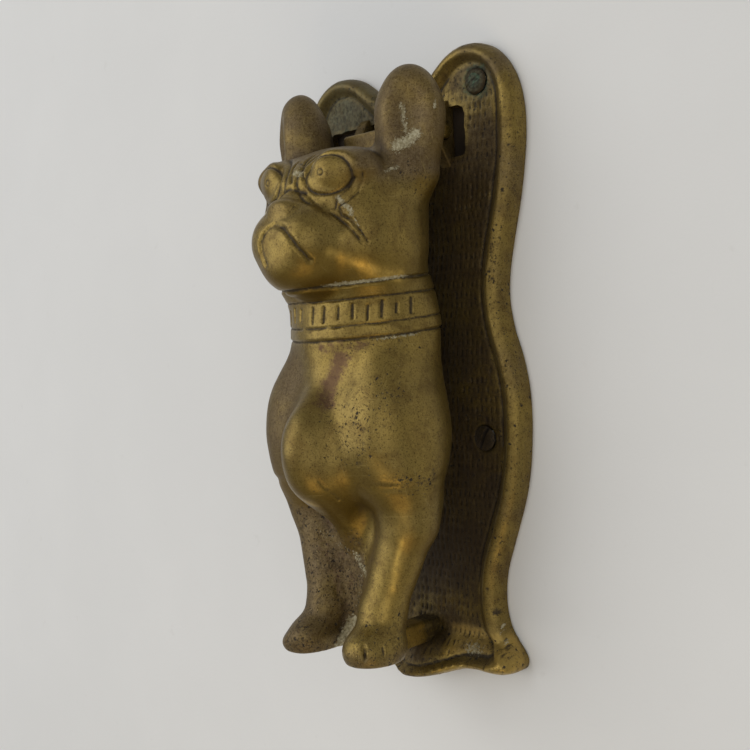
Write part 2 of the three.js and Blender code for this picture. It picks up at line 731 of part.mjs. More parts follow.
// --------------------------------------------------------------- small parts
function buildPin() {
  const endR = PIN_R * 0.7;
  const shoulder = PIN_HALF - 0.6;
  const geometry = latheGeometry([
    [0, -PIN_HALF], [endR, -PIN_HALF], [PIN_R, -shoulder],
    [PIN_R, shoulder], [endR, PIN_HALF], [0, PIN_HALF],
  ]);
  geometry.rotateZ(Math.PI / 2);
  geometry.translate(0, PIN_Y, PIN_Z);
  return toManifold(geometry);
}

// Y of the block's rear face, just in front of the curved foot of the plate
function blockSeat(z) {
  const heights = [-1, -0.5, 0, 0.5, 1].map((share) => {
    const x = share * BLOCK.halfWidth;
    return frontHeight(x, z, nearestOutline(x, z).distance);
  });
  return -(Math.max(...heights) + 0.1);
}

function buildBlock(plate) {
  const { halfWidth, z0, z1, y0, topChamfer, frontChamfer } = BLOCK;
  const frontView = polygon([
    [-halfWidth, z0], [halfWidth, z0],
    [halfWidth, z1 - topChamfer], [halfWidth - topChamfer, z1],
    [-halfWidth + topChamfer, z1], [-halfWidth, z1 - topChamfer],
  ]);

  const overlap = 0.01;         // keeps the side view proud of the front view
  const seatSteps = 6;
  const sideProfile = [[y0 + frontChamfer, z0 - overlap], [blockSeat(z0), z0 - overlap]];
  for (let i = 1; i <= seatSteps; i++) {
    const z = z0 + ((z1 + overlap - z0) * i) / seatSteps;
    sideProfile.push([blockSeat(z), z]);
  }
  sideProfile.push(
    [y0 + frontChamfer, z1 + overlap],
    [y0, z1 - frontChamfer],
    [y0, z0 + frontChamfer],
  );

  const clearance = toGeometry(plate);                // leaves a gap to the plate's facets
  clearance.translate(0, -BLOCK.gap, 0);
  return extrudeY(frontView, -35, 5)
    .intersect(extrudeX(polygon(sideProfile), -10, 10))
    .subtract(toManifold(clearance))
    // stem through the plate, ending just short of its back
    .add(barY(BLOCK.stemR, -14, -0.2, 0, BLOCK.stemZ));
}

// countersunk head with a low dome, plain shank, tapered point; +Y runs into the door
function buildScrew({ x, z, slotTurn }) {
  const { headR, shankR, length, headY } = SCREW;
  const rimR = headR - 0.15;
  const body = latheGeometry([
    [0, headY - 0.6], [headR * 0.55, headY - 0.45],
    [rimR, headY - 0.05], [rimR, headY + 0.25],
    [shankR, headY + 2.05], [shankR, headY + length - 5],
    [0.35, headY + length], [0, headY + length],
  ]);
  body.translate(x, 0, z);
  const slot = boxGeometry(
    [-headR - 1, headY - 1.5, -0.45],
    [headR + 1, headY + 0.25, 0.45],
  );
  slot.rotateY(slotTurn);
  slot.translate(x, 0, z);
  return toManifold(body).subtract(toManifold(slot));
}

// ------------------------------------------------------------------ assembly
const group = new THREE.Group();

function addBrass(name, solid, { color, roughness }) {
  const material = new THREE.MeshStandardMaterial({ color, roughness, metalness: 1 });
  const mesh = new THREE.Mesh(toGeometry(solid), material);
  mesh.name = name;
  group.add(mesh);
}

const plate = buildPlate();
addBrass('backplate', plate, { color: 0x6b5a32, roughness: 0.46 });
addBrass('dog_striker', buildDog(), { color: 0x7a683a, roughness: 0.4 });
addBrass('hinge_pin', buildPin(), { color: 0x8a7a48, roughness: 0.38 });
addBrass('strike_block', buildBlock(plate), { color: 0x74643a, roughness: 0.42 });
for (const screw of SCREWS) addBrass(`fixing_screw_${screw.name}`, buildScrew(screw), screw);

export default group;
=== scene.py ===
"""Cast brass bulldog door knocker: the dog hangs from a pin across the top of its backplate.

Meshes are worked out in millimetres; shaders, floor, lights and camera are in metres.
The plate's back lies on y = 0 and its front faces -Y. Z is up and x = 0 is the middle.
The dog faces -Y, so its left side is at +X.
"""
import math
from itertools import product

import bpy
import numpy as np
from mathutils import Matrix, Vector
from mathutils.geometry import tessellate_polygon


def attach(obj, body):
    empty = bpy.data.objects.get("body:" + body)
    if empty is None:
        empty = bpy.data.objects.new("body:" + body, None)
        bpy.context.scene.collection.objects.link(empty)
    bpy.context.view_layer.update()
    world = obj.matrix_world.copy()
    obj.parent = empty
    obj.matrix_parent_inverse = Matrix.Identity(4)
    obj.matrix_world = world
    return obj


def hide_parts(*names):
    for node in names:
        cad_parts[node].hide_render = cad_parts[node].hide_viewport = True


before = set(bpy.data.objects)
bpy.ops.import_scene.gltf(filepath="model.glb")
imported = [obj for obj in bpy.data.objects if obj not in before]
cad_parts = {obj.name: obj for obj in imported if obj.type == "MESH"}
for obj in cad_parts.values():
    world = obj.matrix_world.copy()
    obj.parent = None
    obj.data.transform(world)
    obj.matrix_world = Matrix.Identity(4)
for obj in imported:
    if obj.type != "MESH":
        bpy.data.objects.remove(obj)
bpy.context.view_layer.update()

MM = 0.001

# ------------------------------------------------------------------ dimensions (mm)
EDGE_THICK, PANEL_THICK, PLATE_WALL = 1.2, 2.8, 2.3
RIM_UP, RIM_WIDTH, RIM_FOOT_LESS = 2.7, 7.2, 3.7    # the rim narrows at the plate's foot
PLATE_BOTTOM, SHELF_TOP = -6.0, 6.6
LAND_WIDTH = 3.4                                    # flat border of the plate's back
WIN_LEFT, WIN_RIGHT, WIN_LOW, WIN_HIGH, WIN_CORNER = -28.5, 21.0, 132.0, 145.2, 2.0
LUG_IN, LUG_OUT, LUG_LOW, LUG_HIGH, LUG_FRONT, LUG_BACK = 12.4, 15.8, 128.5, 148.4, -8.0, -0.6
PIN_Y, PIN_Z, PIN_R, PIN_HALF = -4.7, 139.0, 2.1, 17.2
BARREL_R, BARREL_HALF, BORE_R = 3.8, 11.9, 2.42
DOG_WALL = 4.6
BLOCK_HALF_WIDE, BLOCK_HALF_HIGH, BLOCK_Z, BLOCK_FRONT = 3.2, 3.0, 6.2, -19.6
PEG_HOLE_R = 2.22
SCREWS = {  # x, z, turn of the slot in radians
    "fixing_screw_upper_right": (25.4, 150.0, 0.5),
    "fixing_screw_lower_left": (-22.3, 58.7, 1.1),
    "fixing_screw_lower_right": (22.3, 58.7, 1.1),
}
CRUSTED = "fixing_screw_upper_right"
HEAD_R, SHANK_R, SCREW_LEN = 3.4, 1.75, 25.0
SEAT_R = HEAD_R + 0.35                              # countersink round a screw head


# ------------------------------------------------------------------ small maths
CORNERS = list(product((0, 1), repeat=3))


def ease(start, end, value):
    """smooth step: 0 at start, 1 at end"""
    part = np.clip((value - start) / (end - start), 0, 1)
    return part * part * (3 - 2 * part)


def bell(dist, width):
    return np.exp(-((dist / width) ** 2))


def union(first, second, blend):
    near = np.maximum(blend - np.abs(first - second), 0) / blend
    return np.minimum(first, second) - near * near * blend * 0.25


def overlap(first, second, blend):
    return -union(-first, -second, blend)


def lattice(ix, iy, iz, seed):
    """random value in -1..1 for each whole-number lattice point"""
    mixed = (ix.astype(np.uint32) * np.uint32(73856093)) ^ (iy.astype(np.uint32) * np.uint32(19349663))
    mixed = mixed ^ (iz.astype(np.uint32) * np.uint32(83492791))
    mixed = mixed ^ np.uint32((seed * 2654435761) & 0xFFFFFFFF)
    mixed = (mixed ^ (mixed >> np.uint32(13))) * np.uint32(1274126177)
    mixed = mixed ^ (mixed >> np.uint32(16))
    return (mixed & np.uint32(0xFFFF)).astype(np.float64) / 32767.5 - 1


def noise(points, size, seed):
    """smooth value noise in -1..1 with cells of the given size"""
    scaled = np.asarray(points, float) / size
    cell = np.floor(scaled).astype(np.int64)
    part = scaled - cell
    part = part * part * (3 - 2 * part)
    share = (1 - part, part)
    out = 0
    for a, b, c in CORNERS:
        weight = share[a][:, 0] * share[b][:, 1] * share[c][:, 2]
        out = out + weight * lattice(cell[:, 0] + a, cell[:, 1] + b, cell[:, 2] + c, seed)
    return out


def line_dist(points, line, reach=4.0):
    """distance from points to a polyline, 99 outside its box grown by reach"""
    line = np.asarray(line, float)
    out = np.full(len(points), 99.0)
    low, high = line.min(0) - reach, line.max(0) + reach
    near = np.nonzero(((points >= low) & (points <= high)).all(1))[0]
    if len(near) == 0:
        return out
    close = points[near]
    best = np.full(len(close), 99.0)
    for start, end in zip(line[:-1], line[1:]):
        span = end - start
        t = np.clip(((close - start) @ span) / max(span @ span, 1e-9), 0, 1)
        best = np.minimum(best, np.linalg.norm(close - start - t[:, None] * span, axis=1))
    out[near] = best
    return out


def fold(points):
    """points with the -X side mirrored onto the +X side"""
    folded = points.copy()
    folded[:, 0] = np.abs(folded[:, 0])
    return folded


def grid_lines(*runs):
    """grid lines along one axis from (start, end, spacing) runs"""
    out = []
    for start, end, spacing in runs:
        count = max(1, int(round((end - start) / spacing)))
        out.append(start + (end - start) * np.arange(count) / count)
    return np.concatenate(out + [[runs[-1][1]]])


# ------------------------------------------------------------------ meshes
def make_object(name, verts, faces, attributes, sharp=None):
    """faces: list of index arrays, one row to a face; attributes: arrays or single values"""
    mesh = bpy.data.meshes.new(name)
    mesh.vertices.add(len(verts))
    mesh.vertices.foreach_set("co", (np.asarray(verts, float) * MM).astype(np.float32).ravel())
    loops = np.concatenate([np.asarray(group, np.int32).ravel() for group in faces])
    sizes = np.concatenate([np.full(len(group), group.shape[1], np.int32) for group in faces])
    mesh.loops.add(len(loops))
    mesh.loops.foreach_set("vertex_index", loops)
    mesh.polygons.add(len(sizes))
    starts = np.concatenate([[0], np.cumsum(sizes)[:-1]]).astype(np.int32)
    mesh.polygons.foreach_set("loop_start", starts)
    mesh.update(calc_edges=True)
    mesh.validate()
    for key, value in attributes.items():
        layer = mesh.attributes.new(key, "FLOAT", "POINT")
        filled = np.broadcast_to(np.clip(value, 0, 1), len(verts))
        layer.data.foreach_set("value", filled.astype(np.float32))
    mesh.shade_smooth()
    if sharp:
        mesh.set_sharp_from_angle(angle=math.radians(sharp))
    return link(bpy.data.objects.new(name, mesh))


def link(thing):
    bpy.context.scene.collection.objects.link(thing)
    return thing


def tube_faces(rings, count, flip=False):
    """faces of stacked rings, closed by two centre points that follow them"""
    k = np.arange(count)
    after = (k + 1) % count
    faces = [np.stack([i * count + k, i * count + after, (i + 1) * count + after,
                       (i + 1) * count + k], 1) for i in range(rings - 1)]
    last, centre = (rings - 1) * count, np.full(count, rings * count)
    faces += [np.stack([centre, after, k], 1), np.stack([centre + 1, last + k, last + after], 1)]
    return [np.roll(group[:, ::-1], 1, axis=1) for group in faces] if flip else faces


def lathe(profile, count):
    """surface turned about X; profile is (radius, along) and starts and ends on the axis"""
    t = np.arange(count) * 2 * math.pi / count
    rings = [np.stack([np.full(count, along), radius * np.cos(t), radius * np.sin(t)], 1)
             for radius, along in profile[1:-1]]
    ends = [np.array([[profile[0][1], 0, 0]]), np.array([[profile[-1][1], 0, 0]])]
    return np.concatenate(rings + ends), tube_faces(len(rings), count)


def surface_nets(field, *grids):
    """quads round the part of the grid where field < 0"""
    inside = field < 0
    nx, ny, nz = inside.shape
    filled = sum(inside[a:nx - 1 + a, b:ny - 1 + b, c:nz - 1 + c].astype(np.int8)
                 for a, b, c in CORNERS)
    active = (filled > 0) & (filled < 8)
    cell = np.nonzero(active)
    total_cells = len(cell[0])
    number = np.full(active.shape, -1, np.int64)
    number[cell] = np.arange(total_cells)
    total = np.zeros((total_cells, 3))
    crossings = np.zeros(total_cells)
    corner = {c: field[cell[0] + c[0], cell[1] + c[1], cell[2] + c[2]] for c in CORNERS}
    for axis, u, v in product(range(3), (0, 1), (0, 1)):
        start = [u, v]
        start.insert(axis, 0)
        end = list(start)
        end[axis] = 1
        first, second = corner[tuple(start)], corner[tuple(end)]
        crossed = (first < 0) != (second < 0)
        place = np.array(start, float)[None, :] + np.zeros((total_cells, 1))
        place[:, axis] = np.where(crossed, first / np.where(crossed, first - second, 1), 0)
        total += place * crossed[:, None]
        crossings += crossed
    total /= crossings[:, None]
    verts = np.stack([grid[c] + total[:, axis] * (grid[c + 1] - grid[c])
                      for axis, (grid, c) in enumerate(zip(grids, cell))], 1)
    quads = []
    for axis in range(3):
        edge = np.nonzero(np.diff(inside, axis=axis))
        corners = []
        for u, v in ((-1, -1), (0, -1), (0, 0), (-1, 0)):
            around = list(edge)
            around[(axis + 1) % 3] = around[(axis + 1) % 3] + u
            around[(axis + 2) % 3] = around[(axis + 2) % 3] + v
            corners.append(number[tuple(around)])
        group = np.stack(corners, 1)
        outward = ~inside[edge]
        group[outward] = group[outward][:, [0, 3, 2, 1]]
        quads.append(group)
    return verts, np.concatenate(quads)


def refine(verts, quads, mark):
    """splits the marked quads in four; their neighbours take in the points on shared edges"""
    count = len(verts)
    after = np.roll(quads, -1, axis=1)
    key = np.minimum(quads, after) * count + np.maximum(quads, after)
    split = np.unique(key[mark])
    has = np.isin(key, split)
    middle = count + np.searchsorted(split, np.where(has, key, split[0]))
    marked, sides = quads[mark], middle[mark]
    edge_points = (verts[split // count] + verts[split % count]) / 2
    out = np.concatenate([verts, edge_points, verts[marked].mean(1)])
    centre = count + len(split) + np.arange(len(marked))
    faces = [np.stack([marked[:, k], sides[:, k], centre, sides[:, k - 1]], 1) for k in range(4)]
    rest, rest_has, rest_middle = quads[~mark], has[~mark], middle[~mark]
    code = rest_has @ np.array([1, 2, 4, 8])
    for pattern in range(16):
        chosen = code == pattern
        if not chosen.any():
            continue
        columns = []
        for k in range(4):
            columns.append(rest[chosen][:, k])
            if pattern >> k & 1:
                columns.append(rest_middle[chosen][:, k])
        faces.append(np.stack(columns, 1))
    return out, faces


def gradient(field, points, reach=0.06):
    out = np.zeros_like(points)
    for axis in range(3):
        high, low = points.copy(), points.copy()
        high[:, axis] += reach
        low[:, axis] -= reach
        out[:, axis] = (field(*high.T) - field(*low.T)) / (2 * reach)
    return out


# ------------------------------------------------------------------ the dog's form
def ball(x, y, z, centre, radii, turn):
    """ellipsoid turned about Z by so many degrees"""
    x, y, z = x - centre[0], y - centre[1], z - centre[2]
    if turn:
        cosine, sine = math.cos(math.radians(turn)), math.sin(math.radians(turn))
        x, y = cosine * x + sine * y, -sine * x + cosine * y
    a, b, c = radii
    size = np.sqrt((x / a) ** 2 + (y / b) ** 2 + (z / c) ** 2)
    slope = np.sqrt((x / a**2) ** 2 + (y / b**2) ** 2 + (z / c**2) ** 2) + 1e-9
    return size * (size - 1) / slope


def limb(x, y, z, start, end, girth):
    """cone with round ends; girth is radius at start, radius at end, stretch along X"""
    radius, end_radius, wide = girth
    foot = (start[0] / wide, start[1], start[2])
    axis = (end[0] / wide - foot[0], end[1] - foot[1], end[2] - foot[2])
    offset = (x / wide - foot[0], y - foot[1], z - foot[2])
    square = axis[0] * axis[0] + axis[1] * axis[1] + axis[2] * axis[2]
    taper = radius - end_radius
    cone = square - taper * taper
    inverse = 1 / square
    along = sum(p * e for p, e in zip(offset, axis))
    beyond = along - square
    across2 = sum((p * square - e * along) ** 2 for p, e in zip(offset, axis))
    along2, beyond2 = along * along * square, beyond * beyond * square
    limit = np.sign(taper) * taper * taper * across2
    dist = (np.sqrt(across2 * cone * inverse) + along * taper) * inverse - radius
    past_end = np.sign(beyond) * cone * beyond2 > limit
    dist = np.where(past_end, np.sqrt(across2 + beyond2) * inverse - end_radius, dist)
    before_start = np.sign(along) * cone * along2 < limit
    return np.where(before_start, np.sqrt(across2 + along2) * inverse - radius, dist)


def box(x, y, z, centre, half, corner):
    x = np.abs(x - centre[0]) - (half[0] - corner)
    y = np.abs(y - centre[1]) - (half[1] - corner)
    z = np.abs(z - centre[2]) - (half[2] - corner)
    outside = np.sqrt(np.maximum(x, 0) ** 2 + np.maximum(y, 0) ** 2 + np.maximum(z, 0) ** 2)
    return outside + np.minimum(np.maximum(x, np.maximum(y, z)), 0) - corner


# shape, on both sides, +1 added or -1 taken away, blend, then
# ball: centre, radii, turn; limb: start, end, girth; box: centre, half sizes, corner
DOG = [
    # trunk and neck
    (ball, 0, 1, 0, (0, -33.6, 59.5), (9.6, 17.8, 15.5), 0),
    (limb, 0, 1, 4, (0, -40.2, 54), (0, -29.0, 38.6), (7.8, 4.2, 1)),
    (ball, 0, 1, 10, (0, -24.0, 81), (13.8, 15.0, 18), 0),
    (ball, 0, 1, 6, (0, -18.5, 86), (20.4, 9.5, 24), 0),
    (limb, 0, 1, 6, (0, -24.2, 90), (0, -25, 105), (14.8, 14.6, 1.36)),
    # shoulders, fore legs and paws, with the web between the legs
    (ball, 1, 1, 8, (14.9, -27.3, 62.8), (11.6, 14.9, 20.5), 0),
    (limb, 1, 1, 4, (16.8, -28.4, 54), (16.9, -27.3, 41), (9.0, 7.0, 1)),
    (ball, 1, 1, 2.5, (17.6, -25.8, 45.5), (6.0, 7.8, 7.0), 0),
    (limb, 1, 1, 3, (16.6, -27.6, 40), (10.4, -32.1, 18), (6.8, 5.5, 1)),
    (limb, 1, 1, 3, (10.4, -32.2, 18), (11.2, -35, 11), (5.5, 6.0, 1)),
    (ball, 1, 1, 2.5, (11.4, -36.6, 10.2), (7.2, 8.7, 6.0), 0),
    (box, 0, 1, 6, (0, -25.5, 25.5), (8.0, 5.2, 18.8), 2.5),
    # head and muzzle
    (ball, 0, 1, 5, (0, -26, 118.5), (22.2, 18.2, 16.6), 0),
    (ball, 0, 1, 5, (0, -33, 121.5), (15, 12.5, 10.5), 0),
    (ball, 1, 1, 6, (11.5, -29.5, 110), (10.8, 13.5, 11.5), 0),
    (ball, 0, 1, 4, (0, -40.5, 109.8), (12.4, 12.0, 11.4), 0),
    (ball, 1, 1, 3, (5.8, -43.6, 111), (6.9, 8.0, 8.0), 0),
    (ball, 0, 1, 3, (0, -42, 104.8), (9.4, 10.0, 7.0), 0),
    (ball, 0, 1, 2, (0, -48.2, 118.6), (4.6, 2.6, 2.6), 0),
    (ball, 1, 1, 3, (11, -35.5, 127.5), (8.8, 7, 5.2), 0),
    (ball, 1, 1, 0.8, (11.0, -40.3, 126.6), (5.9, 3.2, 5.2), 30),
    # ears and their hollows
    (ball, 1, 1, 4, (19.7, -22.2, 140.9), (8.5, 6.6, 11.8), 20),
    (limb, 1, 1, 4, (17.4, -21.4, 127), (19.5, -22, 140), (7.4, 6.8, 1.1)),
    (ball, 1, -1, 4, (25.4, -29.2, 139.4), (4.6, 4.8, 8.8), 40),
]


def body_field(x, y, z):
    # the right fore leg stands a little closer to the middle than the left one
    x = x - 2 * ease(46, 36, z) * ease(8.5, 13, z) * ease(-1, -8, x)
    both_sides = np.sqrt(x * x + 1)
    body = None
    for shape, paired, sign, blend, *size in DOG:
        part = shape(both_sides if paired else x, y, z, *size)
        if body is None:
            body = part
        else:
            body = union(body, part, blend) if sign > 0 else overlap(body, -part, blend)
    return body


def dog_field(x, y, z):
    body = body_field(x, y, z)
    slope = 8.0 / 130.0     # the flat back leans away from the plate towards the foot
    back = (y - (-11.5 + slope * (z - 140))) / math.sqrt(1 + slope * slope)
    dog = overlap(body, back, 1.2)
    dog = overlap(dog, 7.2 - z, 0.6)
    hollow = overlap(overlap(body + DOG_WALL, 44 - z, 3), z - 117, 3)
    dog = overlap(dog, -hollow, 1.0)
    tang = box(x, y, z, (0, -11.0, 136.0), (10.3, 5.4, 4.5), 1.0)
    radius = np.sqrt((y - PIN_Y) ** 2 + (z - PIN_Z) ** 2)
    barrel = overlap(radius - BARREL_R, np.abs(x) - BARREL_HALF, 0.5)
    dog = union(dog, union(tang, barrel, 1.2), 0.8)
    return overlap(dog, BORE_R - radius, 0.3)


# ------------------------------------------------------------------ the dog's engraving
# engraved lines: on both sides, depth, width, points
CUTS = [
    (0, 0.78, 0.70, [(9.6, -49.0, 105.4), (9.0, -50.1, 106.8), (8.1, -51.1, 108.3),
                     (6.6, -52.0, 111.0), (4.0, -51.9, 113.6), (1.9, -51.8, 114.6),
                     (0.4, -51.6, 114.8), (-1.5, -51.9, 114.3), (-3.1, -52.3, 112.6),
                     (-3.9, -52.4, 110.6), (-3.8, -52.4, 108.6), (-2.7, -52.4, 105.6)]),
    (1, 0.50, 0.70, [(0, -45.9, 123.6), (1.7, -45.9, 123.2), (5.0, -45.5, 122.3)]),
    (1, 0.50, 0.42, [(12.2, -43.6, 117.0), (13.4, -43.0, 115.9), (14.3, -42.6, 114.8),
                     (17.2, -41.2, 111.3), (18.2, -39.9, 108.9)]),
    (1, 0.25, 0.45, [(6.9, -45.4, 120.9), (9.9, -44.8, 118.4)]),
    (1, 0.50, 0.42, [(18.2, -38.3, 125.6), (17.8, -37.9, 123.5), (16.7, -38.8, 121.1),
                     (15.2, -40.8, 119.2), (13.4, -42.3, 118.1), (14.1, -42.3, 116.0),
                     (16.4, -41.2, 114.6), (18.4, -40.1, 111.6), (19.2, -39.2, 109.4)]),
    (1, 0.45, 0.50, [(16.6, -39.5, 124.3), (14.9, -40.3, 122.1), (12.9, -42.2, 119.9),
                     (12.7, -42.8, 117.8)]),
    (0, 0.50, 0.50, [(-1.6, -41.0, 131.2), (-1.4, -43.0, 128.7), (-0.6, -44.3, 127.0),
                     (0.5, -45.2, 125.3)]),
    (0, 0.45, 0.50, [(-1.6, -41.0, 131.2), (0.2, -41.6, 130.3), (1.8, -42.1, 129.5),
                     (2.0, -40.7, 130.8), (2.6, -39.0, 131.9)]),
    (0, 0.40, 0.50, [(1.8, -42.1, 129.5), (3.3, -43.7, 127.5), (4.2, -44.6, 125.8)]),
    (1, 0.55, 0.55, [(1.5, -52.4, 118.6), (2.4, -52.1, 117.8), (3.2, -51.3, 118.2)]),
    (1, 0.35, 0.45, [(0.0, -52.0, 116.6), (2.3, -51.7, 116.5), (4.3, -50.2, 117.4),
                     (5.0, -48.8, 118.8)]),
    (1, 0.25, 0.40, [(0.0, -50.9, 121.2), (2.4, -50.4, 121.0), (4.3, -49.2, 120.2)]),
    (0, 0.75, 0.50, [(14.5, -43.4, 13.6), (15.0, -43.8, 11.6), (15.2, -44.0, 9.8)]),
    (0, 0.35, 0.40, [(14.1, -43.7, 12.1), (16.0, -43.2, 11.9)]),
    (0, 0.40, 0.45, [(17.6, -40.1, 12.4), (17.9, -40.2, 10.6)]),
    (0, 0.35, 0.40, [(-11.1, -44.6, 12.8), (-11.7, -45.3, 10.0)]),
    (0, 0.30, 0.40, [(-16.2, -42.0, 12.6), (-16.6, -42.4, 10.2)]),
    (0, 0.18, 0.30, [(20.8, -36.6, 66.0), (21.9, -34.9, 64.6), (22.4, -33.9, 62.5)]),
    (0, 0.24, 0.40, [(5.9, -46.8, 52.6), (6.4, -44.5, 50.1), (6.3, -41.1, 47.3)]),
    (0, 0.14, 0.28, [(19.6, -37.6, 63.2), (21.0, -36.2, 61.3), (21.7, -35.4, 59.0)]),
]
# soft furrows on both sides: depth, width, points
VALLEYS = [
    (0.75, 1.7, [(4.0, -45.6, 123.6), (6.5, -45.4, 121.3), (9.9, -44.8, 118.8),
                 (12.8, -43.3, 116.5), (14.8, -42.2, 114.0)]),
    (0.45, 1.2, [(13.5, -42.0, 50.8), (18.5, -39.5, 50.4), (23.5, -34.0, 50.6),
                 (26.0, -28.0, 51.0), (26.5, -20.0, 51.5)]),
]
EYE_X, EYE_Z, EYE_HALF_WIDE, EYE_HALF_HIGH = 10.7, 126.0, 5.85, 4.75
# upright notches round the collar, in degrees from the front
NOTCHES = (-86, -73, -61, -48, -35, -21.8, -2.3, 11.8, 27.5, 40.6, 53.1, 63.4, 73.9, 85.1)


def collar_lines(points):
    """heights of the collar's edges and grooves at each point, and the angle round the neck"""
    y = points[:, 1]
    angle = np.degrees(np.arctan2(points[:, 0], -(y + 24.5)))
    return 102.9 + 0.095 * y, 99.0 + 0.075 * y, 93.0 + 0.09 * y, 89.7 + 0.085 * y, angle


def engrave_lines(points, folded, offset, cut):
    wobble, depth_wobble = noise(points, 2.2, 11), noise(points, 1.1, 12)
    for mirrored, depth, width, line in CUTS:
        dist = line_dist(folded if mirrored else points, line)
        width = width * (0.84 + 0.26 * wobble)
        offset -= depth * (0.85 + 0.35 * depth_wobble) * bell(dist, width)
        offset += 0.08 * depth * bell(dist - 2.2 * width, 0.9 * width)  # raised burr
        dark = bell(dist, width * 0.85) * min(1, depth / 0.4) * (0.8 + 0.3 * depth_wobble)
        np.maximum(cut, dark, out=cut)
    for depth, width, line in VALLEYS:
        offset -= depth * bell(line_dist(folded, line, 9), width)
    return wobble


def engrave_eyes(points, folded, offset, cut):
    """flat-domed disc in a cut ring under a raised lid, with a small ring for the pupil"""
    x, z = folded[:, 0], points[:, 2]
    front = ease(-34, -37.5, points[:, 1])
    size = np.sqrt(((x - EYE_X) / EYE_HALF_WIDE) ** 2 + ((z - EYE_Z) / EYE_HALF_HIGH) ** 2)
    angle = np.degrees(np.arctan2(z - EYE_Z, x - EYE_X))
    beyond = (size - 1) * 5.2
    offset -= 0.50 * bell(beyond, 0.42) * front
    np.maximum(cut, 0.9 * bell(beyond, 0.36) * front, out=cut)
    lid = np.maximum(ease(-20, 20, angle) * ease(215, 150, angle), ease(-150, -175, angle))
    offset += 0.28 * bell(beyond - 1.25, 0.7) * front * lid
    crease = bell(beyond - 2.45, 0.42) * front * ease(95, 125, np.abs(angle))
    offset -= 0.35 * crease
    np.maximum(cut, 0.8 * crease, out=cut)
    offset += 0.05 * ease(1.0, 0.3, size) * front
    pupil = bell(np.sqrt((x - 9.7) ** 2 + (z - 126.5) ** 2) - 0.75, 0.28) * front
    offset -= 0.2 * pupil
    np.maximum(cut, 0.7 * pupil, out=cut)


def engrave_collar(points, outer, wobble, offset, cut):
    top, upper, lower, bottom, angle = collar_lines(points)
    y, z = points[:, 1], points[:, 2]
    offset += 0.32 * ease(bottom - 0.2, bottom + 0.5, z) * ease(top + 0.3, top - 0.4, z) * outer
    near = ((z > 80) & (z < 106)).astype(float) * outer
    for height, width in ((top + 0.35, 0.42), (upper, 0.34), (lower, 0.34), (bottom - 0.2, 0.38)):
        groove = bell(z - height + 0.12 * wobble, width) * near
        offset -= 0.45 * groove * (0.8 + 0.35 * wobble)
        np.maximum(cut, groove * (0.85 + 0.15 * wobble), out=cut)
    for k, start in enumerate(NOTCHES):
        across = (angle - start - 0.25 * (z - 93.2)) * math.pi / 180 * 17.5
        low, high = 90.9 + 0.5 * math.sin(k * 1.7), 95.2 + 0.5 * math.cos(k * 2.9)
        tilt = 0.065 * (y + 35)
        notch = bell(across, 0.42 + 0.12 * math.sin(k * 3.1))
        notch = notch * ease(low + tilt, low + tilt + 0.5, z)
        notch = notch * ease(high + tilt, high + tilt - 0.5, z) * near * (y < -14)
        offset -= 0.5 * notch
        np.maximum(cut, notch, out=cut)


def dog_detail(points):
    """outward offset in mm, cut mask and mask of the web between the legs"""
    x, y, z = points.T
    folded = fold(points)
    outer = ease(0.0, 0.6, (body_field(x, y, z) + 1.2))
    offset, cut = np.zeros(len(points)), np.zeros(len(points))
    wobble = engrave_lines(points, folded, offset, cut)
    engrave_eyes(points, folded, offset, cut)
    engrave_collar(points, outer, wobble, offset, cut)
    # uneven cast skin
    offset += 0.10 * noise(points, 7.5, 3) + 0.035 * noise(points, 2.6, 4)
    web = ease(6.5, 3.0, x) * ease(-14.0, -9.0, x) * ease(-37.0, -33.0, y)
    web = web * ease(44, 38, z + 0.5 * x)
    offset += web * (0.16 * noise(points, 1.3, 5) + 0.12 * noise(points, 0.8, 6))
    return offset * outer, cut * outer, web


